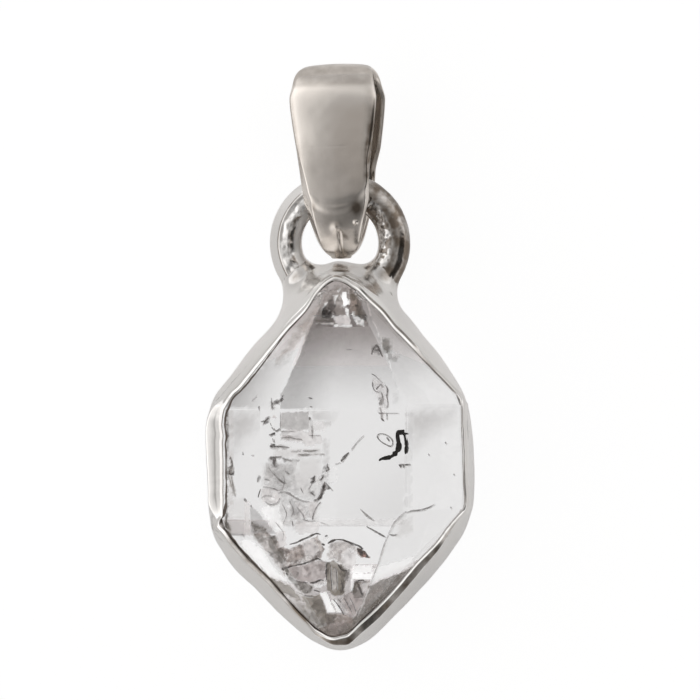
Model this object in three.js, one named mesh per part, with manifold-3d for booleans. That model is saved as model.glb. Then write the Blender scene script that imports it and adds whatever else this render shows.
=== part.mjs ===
// A clear quartz crystal with a point at both ends, set as a pendant. It lies on its back: the crystal's
// flat back face is on z = 0 with its centre at the origin, +Z comes out of its front face, and +Y runs
// from the crystal to the bail. Millimetres.
import * as THREE from 'three';
import { mergeVertices } from 'three/addons/utils/BufferGeometryUtils.js';
import Module from 'manifold-3d';

const wasm = await Module();
wasm.setup();

// ---------- driving dimensions ----------

// Crystal: each prism face's distance from the long axis, the Y where it ends in the upper and the lower
// point's face, and its direction round the axis (90 is the front, 0 is +X).
const PRISM_FACES = [
  { turn: 90, distance: 4.87, top: 2.45, bottom: -3.07 },
  { turn: 30, distance: 5.2, top: 2.62, bottom: -2.35 },
  { turn: -30, distance: 5.45, top: 2.7, bottom: -2.6 },
  { turn: -90, distance: 4.87, top: 2.6, bottom: -2.9 },
  { turn: -150, distance: 5.5, top: 2.7, bottom: -3.2 },
  { turn: 150, distance: 5.15, top: 2.5, bottom: -3.5 },
];
const AXIS_Z = 4.87;
const TOP_POINT = new THREE.Vector3(-0.1, 9.1, AXIS_Z);
const BOTTOM_POINT = new THREE.Vector3(0.05, -9, AXIS_Z);

// The broken tip: a straight ledge across the front of the upper point, and the flakes missing above it.
const LEDGE_Y = 6.67;
const LEDGE_DEPTH = 0.16;
const LEDGE_HALF_WIDTH = 1.35;
const FLAKES = 9;
const FLAKE_SIZE = 0.55;
const FLAKE_SINK = 0.12;

// Natural pits at the upper left corner of the front prism face, as [x, y, size].
const PITS = [
  [-2.95, 2.75, 0.24],
  [-3.2, 2.05, 0.22],
];

// Bezel: rounded hexagons as [x, y, corner radius], from the top corner clockwise.
const BASE_OUTLINE = [
  [0, 10, 1.4],
  [6.5, 3.45, 3],
  [6.5, -3.5, 3.5],
  [-0.05, -10.2, 2.2],
  [-6.42, -4.05, 3.5],
  [-6.42, 3.1, 2],
];
const GIRDLE_OUTLINE = [
  [-0.1, 9.62, 0.6],
  [6.5, 2.85, 1],
  [6.5, -2.75, 1],
  [0.05, -9.5, 0.7],
  [-6.48, -3.55, 1],
  [-6.48, 2.8, 1],
];
const LIP_OUTLINE = [
  [-0.14, 8.86, 0.25],
  [6, 2.74, 0.4],
  [6.15, -2.62, 0.4],
  [0.05, -8.92, 0.5],
  [-6.02, -3.36, 0.2],
  [-5.78, 2.76, 0.3],
];
const BASE_Z = 1.4;
const GIRDLE_Z = 4.5;
const SHOULDER_Z = 5.05;
const LIP_Z = 5.3;
const SHOULDER_BLEND = 0.45;
const BASE_WALL = 0.45;
const GIRDLE_WALL = 0.32;
const SETTING_GAP = 0.05;

// Ring: round wire, soldered astride the bezel's top corner.
const RING_RADIUS = 2.616;
const WIRE_RADIUS = 0.79;
const RING_Y = 10.46;
const RING_Z = 2.23;
const SOLDER_GAP = 0.05;
const SOLDER_BEAD = { x: 1.95, y: 7.8, halfLength: 1.3, halfWidth: 0.62, turn: Math.PI / 3 };

// Bail: a tapered strip folded to a loop. Its own frame has its swing axis at the origin and its fold at
// +Y. The axis is below the wire's centre, which leaves the wire room inside the loop at every angle.
const SWING_Y = RING_Y + RING_RADIUS - 0.7;
const BAIL_YAW = THREE.MathUtils.degToRad(-8);
const BAIL_LEAN = THREE.MathUtils.degToRad(1.5);
const STRIP = 0.45;
const FOLD_HALF_DEPTH = 2.12;
const WAIST_HALF_DEPTH = 2.02;
const FOLD_Y = 4.58;
const BAIL_CROWN = 0.2;
const BAIL_HALF_WIDTHS = [
  [-2.72, 0.12],
  [-2.6, 0.45],
  [-2.35, 0.75],
  [-1.9, 1],
  [-1.1, 1.27],
  [0, 1.58],
  [1.6, 1.7],
  [2.6, 1.83],
  [3.65, 1.98],
  [5.2, 2.05],
  [5.9, 1.98],
  [6.4, 1.78],
  [6.65, 1.5],
  [6.72, 1.2],
];

const SILVER = { color: 0xcac5bf, metalness: 1, roughness: 0.28 };
const QUARTZ = { color: 0xe6e3e3, metalness: 0, roughness: 0.05, transparent: true, opacity: 0.5 };

// ---------- solids ----------

const Y_AXIS = new THREE.Vector3(0, 1, 0);
const Z_AXIS = new THREE.Vector3(0, 0, 1);
const HUGE = 60;

// A closed three.js geometry as a solid that can be joined and cut.
function solid(geometry) {
  const bare = geometry.clone();
  bare.deleteAttribute('normal');
  bare.deleteAttribute('uv');
  const merged = mergeVertices(bare, 1e-5);
  return new wasm.Manifold(new wasm.Mesh({
    numProp: 3,
    vertProperties: new Float32Array(merged.attributes.position.array),
    triVerts: new Uint32Array(merged.index.array),
  }));
}

// A solid as a three.js geometry.
function geometryOf(shape) {
  const mesh = shape.getMesh();
  const geometry = new THREE.BufferGeometry();
  geometry.setAttribute('position', new THREE.BufferAttribute(new Float32Array(mesh.vertProperties), 3));
  geometry.setIndex(new THREE.BufferAttribute(new Uint32Array(mesh.triVerts), 1));
  geometry.computeVertexNormals();
  return geometry;
}

// Everything on the outer side of the plane through point that faces along normal.
function outside(normal, point) {
  const box = new THREE.BoxGeometry(HUGE, HUGE, HUGE);
  const turn = new THREE.Quaternion().setFromUnitVectors(Z_AXIS, normal);
  box.applyQuaternion(turn);
  const centre = point.clone().addScaledVector(normal, HUGE / 2);
  return solid(box.translate(centre.x, centre.y, centre.z));
}

// A flat outline in XY, drawn out from z = low to z = high.
function slab(points, low, high) {
  const shape = new THREE.Shape(points);
  const geometry = new THREE.ExtrudeGeometry(shape, { depth: high - low, bevelEnabled: false });
  return geometry.translate(0, 0, low);
}

// ---------- crystal ----------

// A unit vector square to the long axis, turned round it from +X towards +Z.
function acrossAxis(degrees) {
  const angle = THREE.MathUtils.degToRad(degrees);
  return new THREE.Vector3(Math.cos(angle), 0, Math.sin(angle));
}

// The plane of one point's face: it holds the point and the straight end of its prism face.
function pointFace(face, end, point) {
  const across = acrossAxis(face.turn);
  const up = Math.sign(end);
  const along = across.dot(new THREE.Vector3(point.x, 0, 0));
  const run = face.distance - along;
  const rise = Math.abs(point.y - end);
  return across.multiplyScalar(rise).addScaledVector(Y_AXIS, up * run).normalize();
}

// The six-sided prism with its two points, every face moved out by extra.
function doublePoint(extra) {
  let body = solid(new THREE.BoxGeometry(30, 30, 30).translate(0, 0, AXIS_Z));
  for (const face of PRISM_FACES) {
    const across = acrossAxis(face.turn);
    const onFace = new THREE.Vector3(0, 0, AXIS_Z).addScaledVector(across, face.distance + extra);
    body = body.subtract(outside(across, onFace));
    for (const [end, point] of [[face.top, TOP_POINT], [face.bottom, BOTTOM_POINT]]) {
      const normal = pointFace(face, end, point);
      body = body.subtract(outside(normal, point.clone().addScaledVector(normal, extra)));
    }
  }
  return body;
}

// The front face of the upper point: its normal, and its height above the surface at a given Y.
const upperFront = pointFace(PRISM_FACES[0], PRISM_FACES[0].top, TOP_POINT);
const upperFrontZ = (y) => AXIS_Z + (TOP_POINT.y - y) * upperFront.y / upperFront.z;

// The material missing at the tip: a thin slab above a straight ledge, and flakes cut at odd angles.
function tipBreak() {
  const slabThickness = 1;
  const length = TOP_POINT.y - LEDGE_Y;
  const plate = new THREE.BoxGeometry(2 * LEDGE_HALF_WIDTH, 1.4 * length, slabThickness);
  plate.translate(0, 0.7 * length, slabThickness / 2 - LEDGE_DEPTH);
  const tilt = new THREE.Quaternion().setFromUnitVectors(Z_AXIS, upperFront);
  plate.applyQuaternion(tilt);
  plate.translate(0, LEDGE_Y, upperFrontZ(LEDGE_Y));
  let missing = solid(plate);
  for (let i = 0; i < FLAKES; i += 1) {
    const flake = new THREE.OctahedronGeometry(FLAKE_SIZE * (0.7 + 0.3 * Math.sin(5 * i)));
    flake.rotateX(1.3 * i + 0.4);
    flake.rotateY(2.1 * i);
    const x = 0.8 * Math.sin(2.4 * i + 0.6);
    const y = LEDGE_Y + 0.35 + i / (FLAKES - 1);
    missing = missing.add(solid(flake.translate(x, y, upperFrontZ(y) - FLAKE_SINK)));
  }
  return missing;
}

// The natural crystal: the ideal double point less its broken tip and its pits.
function crystal() {
  let body = doublePoint(0).subtract(tipBreak());
  for (const [x, y, size] of PITS) {
    const pit = new THREE.OctahedronGeometry(size).rotateX(x).rotateY(y);
    body = body.subtract(solid(pit.translate(x, y, AXIS_Z + PRISM_FACES[0].distance)));
  }
  return body;
}

// ---------- bezel ----------

// The hexagon with its sides moved in by distance and its corner radii reduced as much.
function inset(outline, distance) {
  const count = outline.length;
  return outline.map(([x, y, radius], i) => {
    const [px, py] = outline[(i + count - 1) % count];
    const [nx, ny] = outline[(i + 1) % count];
    const before = new THREE.Vector2(x - px, y - py).normalize();
    const after = new THREE.Vector2(nx - x, ny - y).normalize();
    const inward = new THREE.Vector2(before.y + after.y, -before.x - after.x).normalize();
    const shift = distance / (inward.x * before.y - inward.y * before.x);
    return [x + inward.x * shift, y + inward.y * shift, Math.max(radius - distance, 0.05)];
  });
}

// Points round a hexagon with rounded corners: the same number on each corner arc for every outline.
const CORNER_STEPS = 9;
function roundedHexagon(outline) {
  const count = outline.length;
  const points = [];
  outline.forEach(([x, y, radius], i) => {
    const corner = new THREE.Vector2(x, y);
    const toLast = new THREE.Vector2(...outline[(i + count - 1) % count].slice(0, 2)).sub(corner).normalize();
    const toNext = new THREE.Vector2(...outline[(i + 1) % count].slice(0, 2)).sub(corner).normalize();
    const half = Math.acos(THREE.MathUtils.clamp(toLast.dot(toNext), -1, 1)) / 2;
    const start = corner.clone().addScaledVector(toLast, radius / Math.tan(half));
    const end = corner.clone().addScaledVector(toNext, radius / Math.tan(half));
    const bisector = toLast.clone().add(toNext).normalize();
    const centre = corner.clone().addScaledVector(bisector, radius / Math.sin(half));
    const from = start.clone().sub(centre);
    const to = end.clone().sub(centre);
    const sweep = Math.atan2(from.x * to.y - from.y * to.x, from.dot(to));
    for (let k = 0; k <= CORNER_STEPS; k += 1) {
      points.push(from.clone().rotateAround(new THREE.Vector2(), sweep * k / CORNER_STEPS).add(centre));
    }
  });
  return points;
}

// A hexagon part of the way from one outline to another.
function between(first, second, share) {
  return first.map((corner, i) => corner.map((value, k) => value + (second[i][k] - value) * share));
}

// A closed solid through rounded hexagons at rising heights, given as [outline, z].
function loft(levels) {
  const rings = levels.map(([outline, z]) => roundedHexagon(outline).map((p) => [p.x, p.y, z]));
  const count = rings[0].length;
  const positions = rings.flat(2);
  const index = [];
  for (let level = 0; level + 1 < rings.length; level += 1) {
    for (let i = 0; i < count; i += 1) {
      const a = level * count + i;
      const b = level * count + ((i + 1) % count);
      index.push(a, b + count, b, a, a + count, b + count);
    }
  }
  const top = (rings.length - 1) * count;
  for (let i = 1; i + 1 < count; i += 1) {
    index.push(0, i, i + 1, top, top + i + 1, top + i);
  }
  const geometry = new THREE.BufferGeometry();
  geometry.setAttribute('position', new THREE.BufferAttribute(new Float32Array(positions), 3));
  geometry.setIndex(index);
  return geometry;
}

// The space inside the bezel's outer surface, moved out by extra.
function bezelOutside(extra) {
  const shoulder = between(GIRDLE_OUTLINE, LIP_OUTLINE, SHOULDER_BLEND);
  return loft([
    [inset(BASE_OUTLINE, -extra), BASE_Z - extra],
    [inset(GIRDLE_OUTLINE, -extra), GIRDLE_Z],
    [inset(shoulder, -extra), SHOULDER_Z],
    [inset(LIP_OUTLINE, -extra), LIP_Z + extra],
  ]);
}

// The strip bent round the crystal, open at the back, with its lip pressed over the crystal's edge.
function bezel() {
  const backOpening = loft([
    [inset(BASE_OUTLINE, BASE_WALL), BASE_Z - 1],
    [inset(BASE_OUTLINE, BASE_WALL), BASE_Z],
    [inset(GIRDLE_OUTLINE, GIRDLE_WALL), GIRDLE_Z],
  ]);
  return solid(bezelOutside(0)).subtract(solid(backOpening)).subtract(doublePoint(SETTING_GAP));
}

// ---------- ring ----------

// The bead of solder that fills the notch between the ring and the bezel's shoulder. side is 1 or -1.
function solderBead(side) {
  const { x, y, halfLength, halfWidth, turn } = SOLDER_BEAD;
  const bead = new THREE.SphereGeometry(1, 20, 14).scale(halfLength, halfWidth, halfWidth);
  return solid(bead.rotateZ(-side * turn).translate(side * x, y, RING_Z));
}

// The wire ring, cut where it meets the bezel, with its two beads of solder.
function hangingRing() {
  const torus = new THREE.TorusGeometry(RING_RADIUS, WIRE_RADIUS, 18, 56).translate(0, RING_Y, RING_Z);
  return solid(torus).add(solderBead(1)).add(solderBead(-1)).subtract(solid(bezelOutside(SOLDER_GAP)));
}

// ---------- bail ----------

// The strip's outer line seen from the side, in (y, z): a blunt V under the ring's wire, two long leaves,
// and a half circle at the fold. wall is how far inside that line the points are.
function loopOutline(wall) {
  const depth = FOLD_HALF_DEPTH - wall;
  const waist = WAIST_HALF_DEPTH - wall;
  const tipY = -2.7 + 1.9 * wall;
  const shape = new THREE.Shape();
  shape.moveTo(tipY, 0);
  shape.bezierCurveTo(tipY, 0.5 * waist, -1.2 + wall, 0.9 * waist, 0, waist);
  shape.lineTo(FOLD_Y, depth);
  shape.absarc(FOLD_Y, 0, depth, Math.PI / 2, -Math.PI / 2, true);
  shape.lineTo(0, -waist);
  shape.bezierCurveTo(-1.2 + wall, -0.9 * waist, tipY, -0.5 * waist, tipY, 0);
  return shape.getPoints(14);
}

// The loop, cut to the strip's taper and given a slight crown across its front and back.
function bail() {
  const sideways = new THREE.Matrix4().makeBasis(Y_AXIS, Z_AXIS, new THREE.Vector3(1, 0, 0));
  const loop = solid(slab(loopOutline(0), -3, 3).applyMatrix4(sideways));
  const inside = solid(slab(loopOutline(STRIP), -4, 4).applyMatrix4(sideways));
  const right = BAIL_HALF_WIDTHS.map(([y, half]) => new THREE.Vector2(half, y));
  const left = BAIL_HALF_WIDTHS.map(([y, half]) => new THREE.Vector2(-half, y)).reverse();
  const taper = solid(slab([...right, ...left], -3, 3));
  const crown = [];
  for (let i = -8; i <= 8; i += 1) {
    const x = i / 8 * 2.1;
    crown.push(new THREE.Vector2(x, FOLD_HALF_DEPTH - BAIL_CROWN * (i / 8) ** 2));
  }
  const mirrored = crown.map((p) => new THREE.Vector2(-p.x, -p.y));
  const section = slab([...crown, ...mirrored].reverse(), -8, 8).rotateX(Math.PI / 2);
  return loop.subtract(inside).intersect(taper).intersect(solid(section));
}

// ---------- the pendant ----------

function piece(name, shape, look) {
  const mesh = new THREE.Mesh(geometryOf(shape), new THREE.MeshStandardMaterial(look));
  mesh.name = name;
  return mesh;
}

const pendant = new THREE.Group();
pendant.add(piece('quartz_crystal', crystal(), QUARTZ));
pendant.add(piece('silver_bezel', bezel(), SILVER));
pendant.add(piece('hanging_ring', hangingRing(), SILVER));

const bailGroup = new THREE.Group();
bailGroup.position.set(0, SWING_Y, RING_Z);
bailGroup.rotation.set(0, BAIL_YAW, BAIL_LEAN, 'ZYX');
bailGroup.add(piece('bail', bail(), SILVER));
pendant.add(bailGroup);

export default pendant;
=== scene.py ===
import math

import bmesh
import bpy
import numpy as np
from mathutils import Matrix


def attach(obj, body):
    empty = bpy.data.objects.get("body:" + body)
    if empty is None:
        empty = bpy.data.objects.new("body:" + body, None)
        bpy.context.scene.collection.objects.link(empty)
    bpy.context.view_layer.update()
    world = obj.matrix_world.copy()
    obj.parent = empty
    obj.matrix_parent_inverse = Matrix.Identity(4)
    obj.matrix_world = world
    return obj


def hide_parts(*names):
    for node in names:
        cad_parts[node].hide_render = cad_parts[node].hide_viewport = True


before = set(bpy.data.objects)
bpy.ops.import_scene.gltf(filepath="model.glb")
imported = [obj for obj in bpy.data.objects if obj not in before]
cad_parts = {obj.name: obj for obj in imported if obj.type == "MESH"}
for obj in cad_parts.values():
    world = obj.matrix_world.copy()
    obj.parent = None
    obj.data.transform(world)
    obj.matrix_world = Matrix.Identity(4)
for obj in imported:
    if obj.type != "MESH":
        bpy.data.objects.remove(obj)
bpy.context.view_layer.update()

# ---------------------------------------------------------------------------------------------------
# Quartz crystal. One natural double-pointed crystal, clear, with worn edges and a broken front tip.
# It is held by the bezel's lip and lies on its flat back face.
# ---------------------------------------------------------------------------------------------------
MM = 0.001
EDGE_WEAR = 0.022
QUARTZ_IOR = 1.544
QUARTZ_TINT = (0.985, 0.98, 0.98, 1)
# Each finish's roughness and etching: the clear faces, the back point faces and the broken tip.
QUARTZ_FINISHES = (("quartz_clear", 0.0, 0.0), ("quartz_etched", 0.34, 0.2), ("quartz_broken", 0.04, 1.0))
MERGE_WITHIN = 1e-7
FLAT_WITHIN, WORN_OVER = math.radians(0.6), math.radians(8)
BREAK_Y, BREAK_Z = 6.86, 5.6
# The points are drawn out along y from these places by these factors, and blunted by these planes.
UPPER_DRAW, LOWER_DRAW = (2.5, 1.069), (-2.7, 1.07)
BLUNT_PLANES = (
    (0, 1, 8.72), (0.5, 0.87, 7.56), (-0.5, 0.87, 7.7),
    (0, -1, 8.58), (0.55, -0.835, 7.2), (-0.4, -0.92, 8.07),
)


def new_material(name):
    """An empty node material, with its nodes, links and Principled shader."""
    material = bpy.data.materials.new(name)
    material.use_nodes = True
    nodes = material.node_tree.nodes
    return material, nodes, material.node_tree.links, nodes["Principled BSDF"]


def object_noise(nodes, links, scale, stretch=(1, 1, 1), detail=3):
    """A noise texture on Object coordinates, scale times a millimetre, stretched by axis."""
    place = nodes.new("ShaderNodeTexCoord")
    mapping = nodes.new("ShaderNodeMapping")
    mapping.inputs["Scale"].default_value = [s / MM for s in stretch]
    noise = nodes.new("ShaderNodeTexNoise")
    noise.inputs["Scale"].default_value = scale
    noise.inputs["Detail"].default_value = detail
    links.new(place.outputs["Object"], mapping.inputs["Vector"])
    links.new(mapping.outputs["Vector"], noise.inputs["Vector"])
    return noise.outputs["Fac"]


def bump_chain(nodes, links, shader, layers):
    """Bump nodes one after the other, each from a height output, a strength and a depth in mm."""
    normal = None
    for height, strength, depth in layers:
        bump = nodes.new("ShaderNodeBump")
        bump.inputs["Strength"].default_value = strength
        bump.inputs["Distance"].default_value = depth * MM
        links.new(height, bump.inputs["Height"])
        if normal:
            links.new(normal, bump.inputs["Normal"])
        normal = bump.outputs["Normal"]
    links.new(normal, shader.inputs["Normal"])


def quartz_material(name, roughness, etching):
    """Clear quartz: plain transmission, with faint growth lines across the long axis as bump, and
    finer etching."""
    material, nodes, links, shader = new_material(name)
    shader.inputs["Base Color"].default_value = QUARTZ_TINT
    shader.inputs["Roughness"].default_value = roughness
    shader.inputs["IOR"].default_value = QUARTZ_IOR
    shader.inputs["Transmission Weight"].default_value = 1.0
    lines = object_noise(nodes, links, 1.0, (0.12, 3.2, 0.12))
    pitted = object_noise(nodes, links, 5.0, detail=5)
    bump_chain(nodes, links, shader, [(lines, 0.12, 0.01), (pitted, etching, 0.04)])
    return material


def worn_crystal():
    """The CAD crystal with its triangles joined to whole faces, its points drawn out and blunted, and a
    narrow bevel on every edge. Its back point faces take the second material, and the broken front tip
    the third."""
    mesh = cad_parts["quartz_crystal"].data.copy()
    mesh.name = "crystal"
    bm = bmesh.new()
    bm.from_mesh(mesh)
    bmesh.ops.remove_doubles(bm, verts=bm.verts, dist=MERGE_WITHIN)
    bmesh.ops.dissolve_limit(bm, angle_limit=FLAT_WITHIN, verts=bm.verts, edges=bm.edges)
    corners = np.array([v.co for v in bm.verts]) / MM
    for (start, factor), beyond in ((UPPER_DRAW, np.greater), (LOWER_DRAW, np.less)):
        y = corners[:, 1]
        corners[:, 1] = np.where(beyond(y, start), start + (y - start) * factor, y)
    for vertex, place in zip(bm.verts, corners * MM):
        vertex.co = place
    for nx, ny, distance in BLUNT_PLANES:
        parts = bm.verts[:] + bm.edges[:] + bm.faces[:]
        place = (nx * distance * MM, ny * distance * MM, 0)
        cut = bmesh.ops.bisect_plane(bm, geom=parts, plane_co=place, plane_no=(nx, ny, 0), clear_outer=True)
        bmesh.ops.holes_fill(bm, edges=[e for e in cut["geom_cut"] if isinstance(e, bmesh.types.BMEdge)])
    bmesh.ops.recalc_face_normals(bm, faces=bm.faces)
    bm.to_mesh(mesh)
    bm.free()
    mesh.materials.clear()
    for finish in QUARTZ_FINISHES:
        mesh.materials.append(quartz_material(*finish))
    for polygon in mesh.polygons:
        polygon.use_smooth = False
        normal, centre = polygon.normal, polygon.center / MM
        if normal.z < -0.1 and abs(normal.y) > 0.3:
            polygon.material_index = 1
        elif centre.y > BREAK_Y and centre.z > BREAK_Z:
            polygon.material_index = 2
    piece = bpy.data.objects.new("crystal", mesh)
    bpy.context.scene.collection.objects.link(piece)
    bevel = piece.modifiers.new("wear", "BEVEL")
    bevel.width = EDGE_WEAR * MM
    bevel.segments = 2
    bevel.limit_method = "ANGLE"
    bevel.angle_limit = WORN_OVER
    return piece


crystal = worn_crystal()
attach(crystal, "setting")
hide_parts("quartz_crystal")

# ---------------------------------------------------------------------------------------------------
# Inclusions. Black mineral threads and specks, the dark edges of cracks with white glints beside them
# that are painted highlights, smoky and rusty films of healed cracks, white films that are painted
# highlights, films that are painted shade where the crystal darkens towards its top, a back sheet of
# painted light and shade, and crumpled open cracks that mirror the light, all inside the crystal. All
# but the open cracks glow a little with painted light from behind.
# ---------------------------------------------------------------------------------------------------
# Thread tones, each a colour and how much it covers.
BLACK_THREAD = ((0.008, 0.007, 0.006), 1.0)
DARK_THREAD = ((0.1, 0.083, 0.075), 0.66)
GREY_THREAD = ((0.2, 0.18, 0.175), 0.45)
PALE_THREAD = ((0.32, 0.295, 0.29), 0.26)
# The glint is a white tube beside and below each grey and pale thread: a painted highlight.
GLINT = ((0.95, 0.94, 0.93), 0.5)
GLINT_SHIFT = (0.034, -0.04)
THREAD_DEPTH, GLINT_BELOW = 0.1, 0.03
THREAD_SIDES = 8
SPAN_STEPS = 7
THINNEST, FLATTENED = 0.006, 0.7
# Film colours.
BLACK = (0.012, 0.01, 0.009)
SMOKE_AND_SHADE = (0.12, 0.105, 0.1)
RUST = (0.171, 0.098, 0.072)
UMBER = (0.115, 0.098, 0.08)
TAN = (0.215, 0.187, 0.155)
TAUPE = (0.22, 0.194, 0.181)
CLAY = (0.32, 0.262, 0.232)
MAUVE = (0.41, 0.358, 0.348)
PINK = (0.485, 0.283, 0.242)
PEARL = (0.72, 0.69, 0.685)
# White films are painted highlights: the bright flashes of cracks and light seen through the crystal.
WHITE = (0.97, 0.97, 0.97)
# The films' glow: painted light that stands for light from behind them.
BACKLIGHT = 0.5
SHALLOWEST, BURIED_BY = 0.03, 0.003
# The back sheet is painted light and shade: its colour goes from near white to grey towards the crystal's
# top, and its glow is painted light from behind. Its span along y and where its colour goes from near to
# far, the tip that its sides run to and their half widths where they start, and its share of that width,
# gap and cover.
SKIN_NEAR, SKIN_FAR = (0.94, 0.915, 0.915), (0.5, 0.46, 0.45)
SKIN_BACKLIGHT = 0.6
SKIN_SPAN, SKIN_FADE = (2.6, 8.5), (2.6, 5.6)
SKIN_TIP, SKIN_FOOT_Y = (-0.144, 9.17), 2.7
SKIN_LEFT, SKIN_RIGHT = 5.54, 6.06
SKIN_WIDTH, SKIN_GAP, SKIN_COVER = 0.94, 0.04, 0.96
SKIN_STEPS = 110
# The first seed of each kind's noise, and how far apart the films' seeds are.
THREAD_SEED, FILM_SEED, CRACK_SEED = 50, 200, 900
FILM_SEEDS = 6
# The drawing grid of 700 by 700 squares, on which the inclusions and the bezel's lip are placed,
# counted to the right and down: a square's width in millimetres, and where the frame's x and y are 0.
GRID_SQUARE, GRID_MIDDLE = 0.048, (340, 460)
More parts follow.
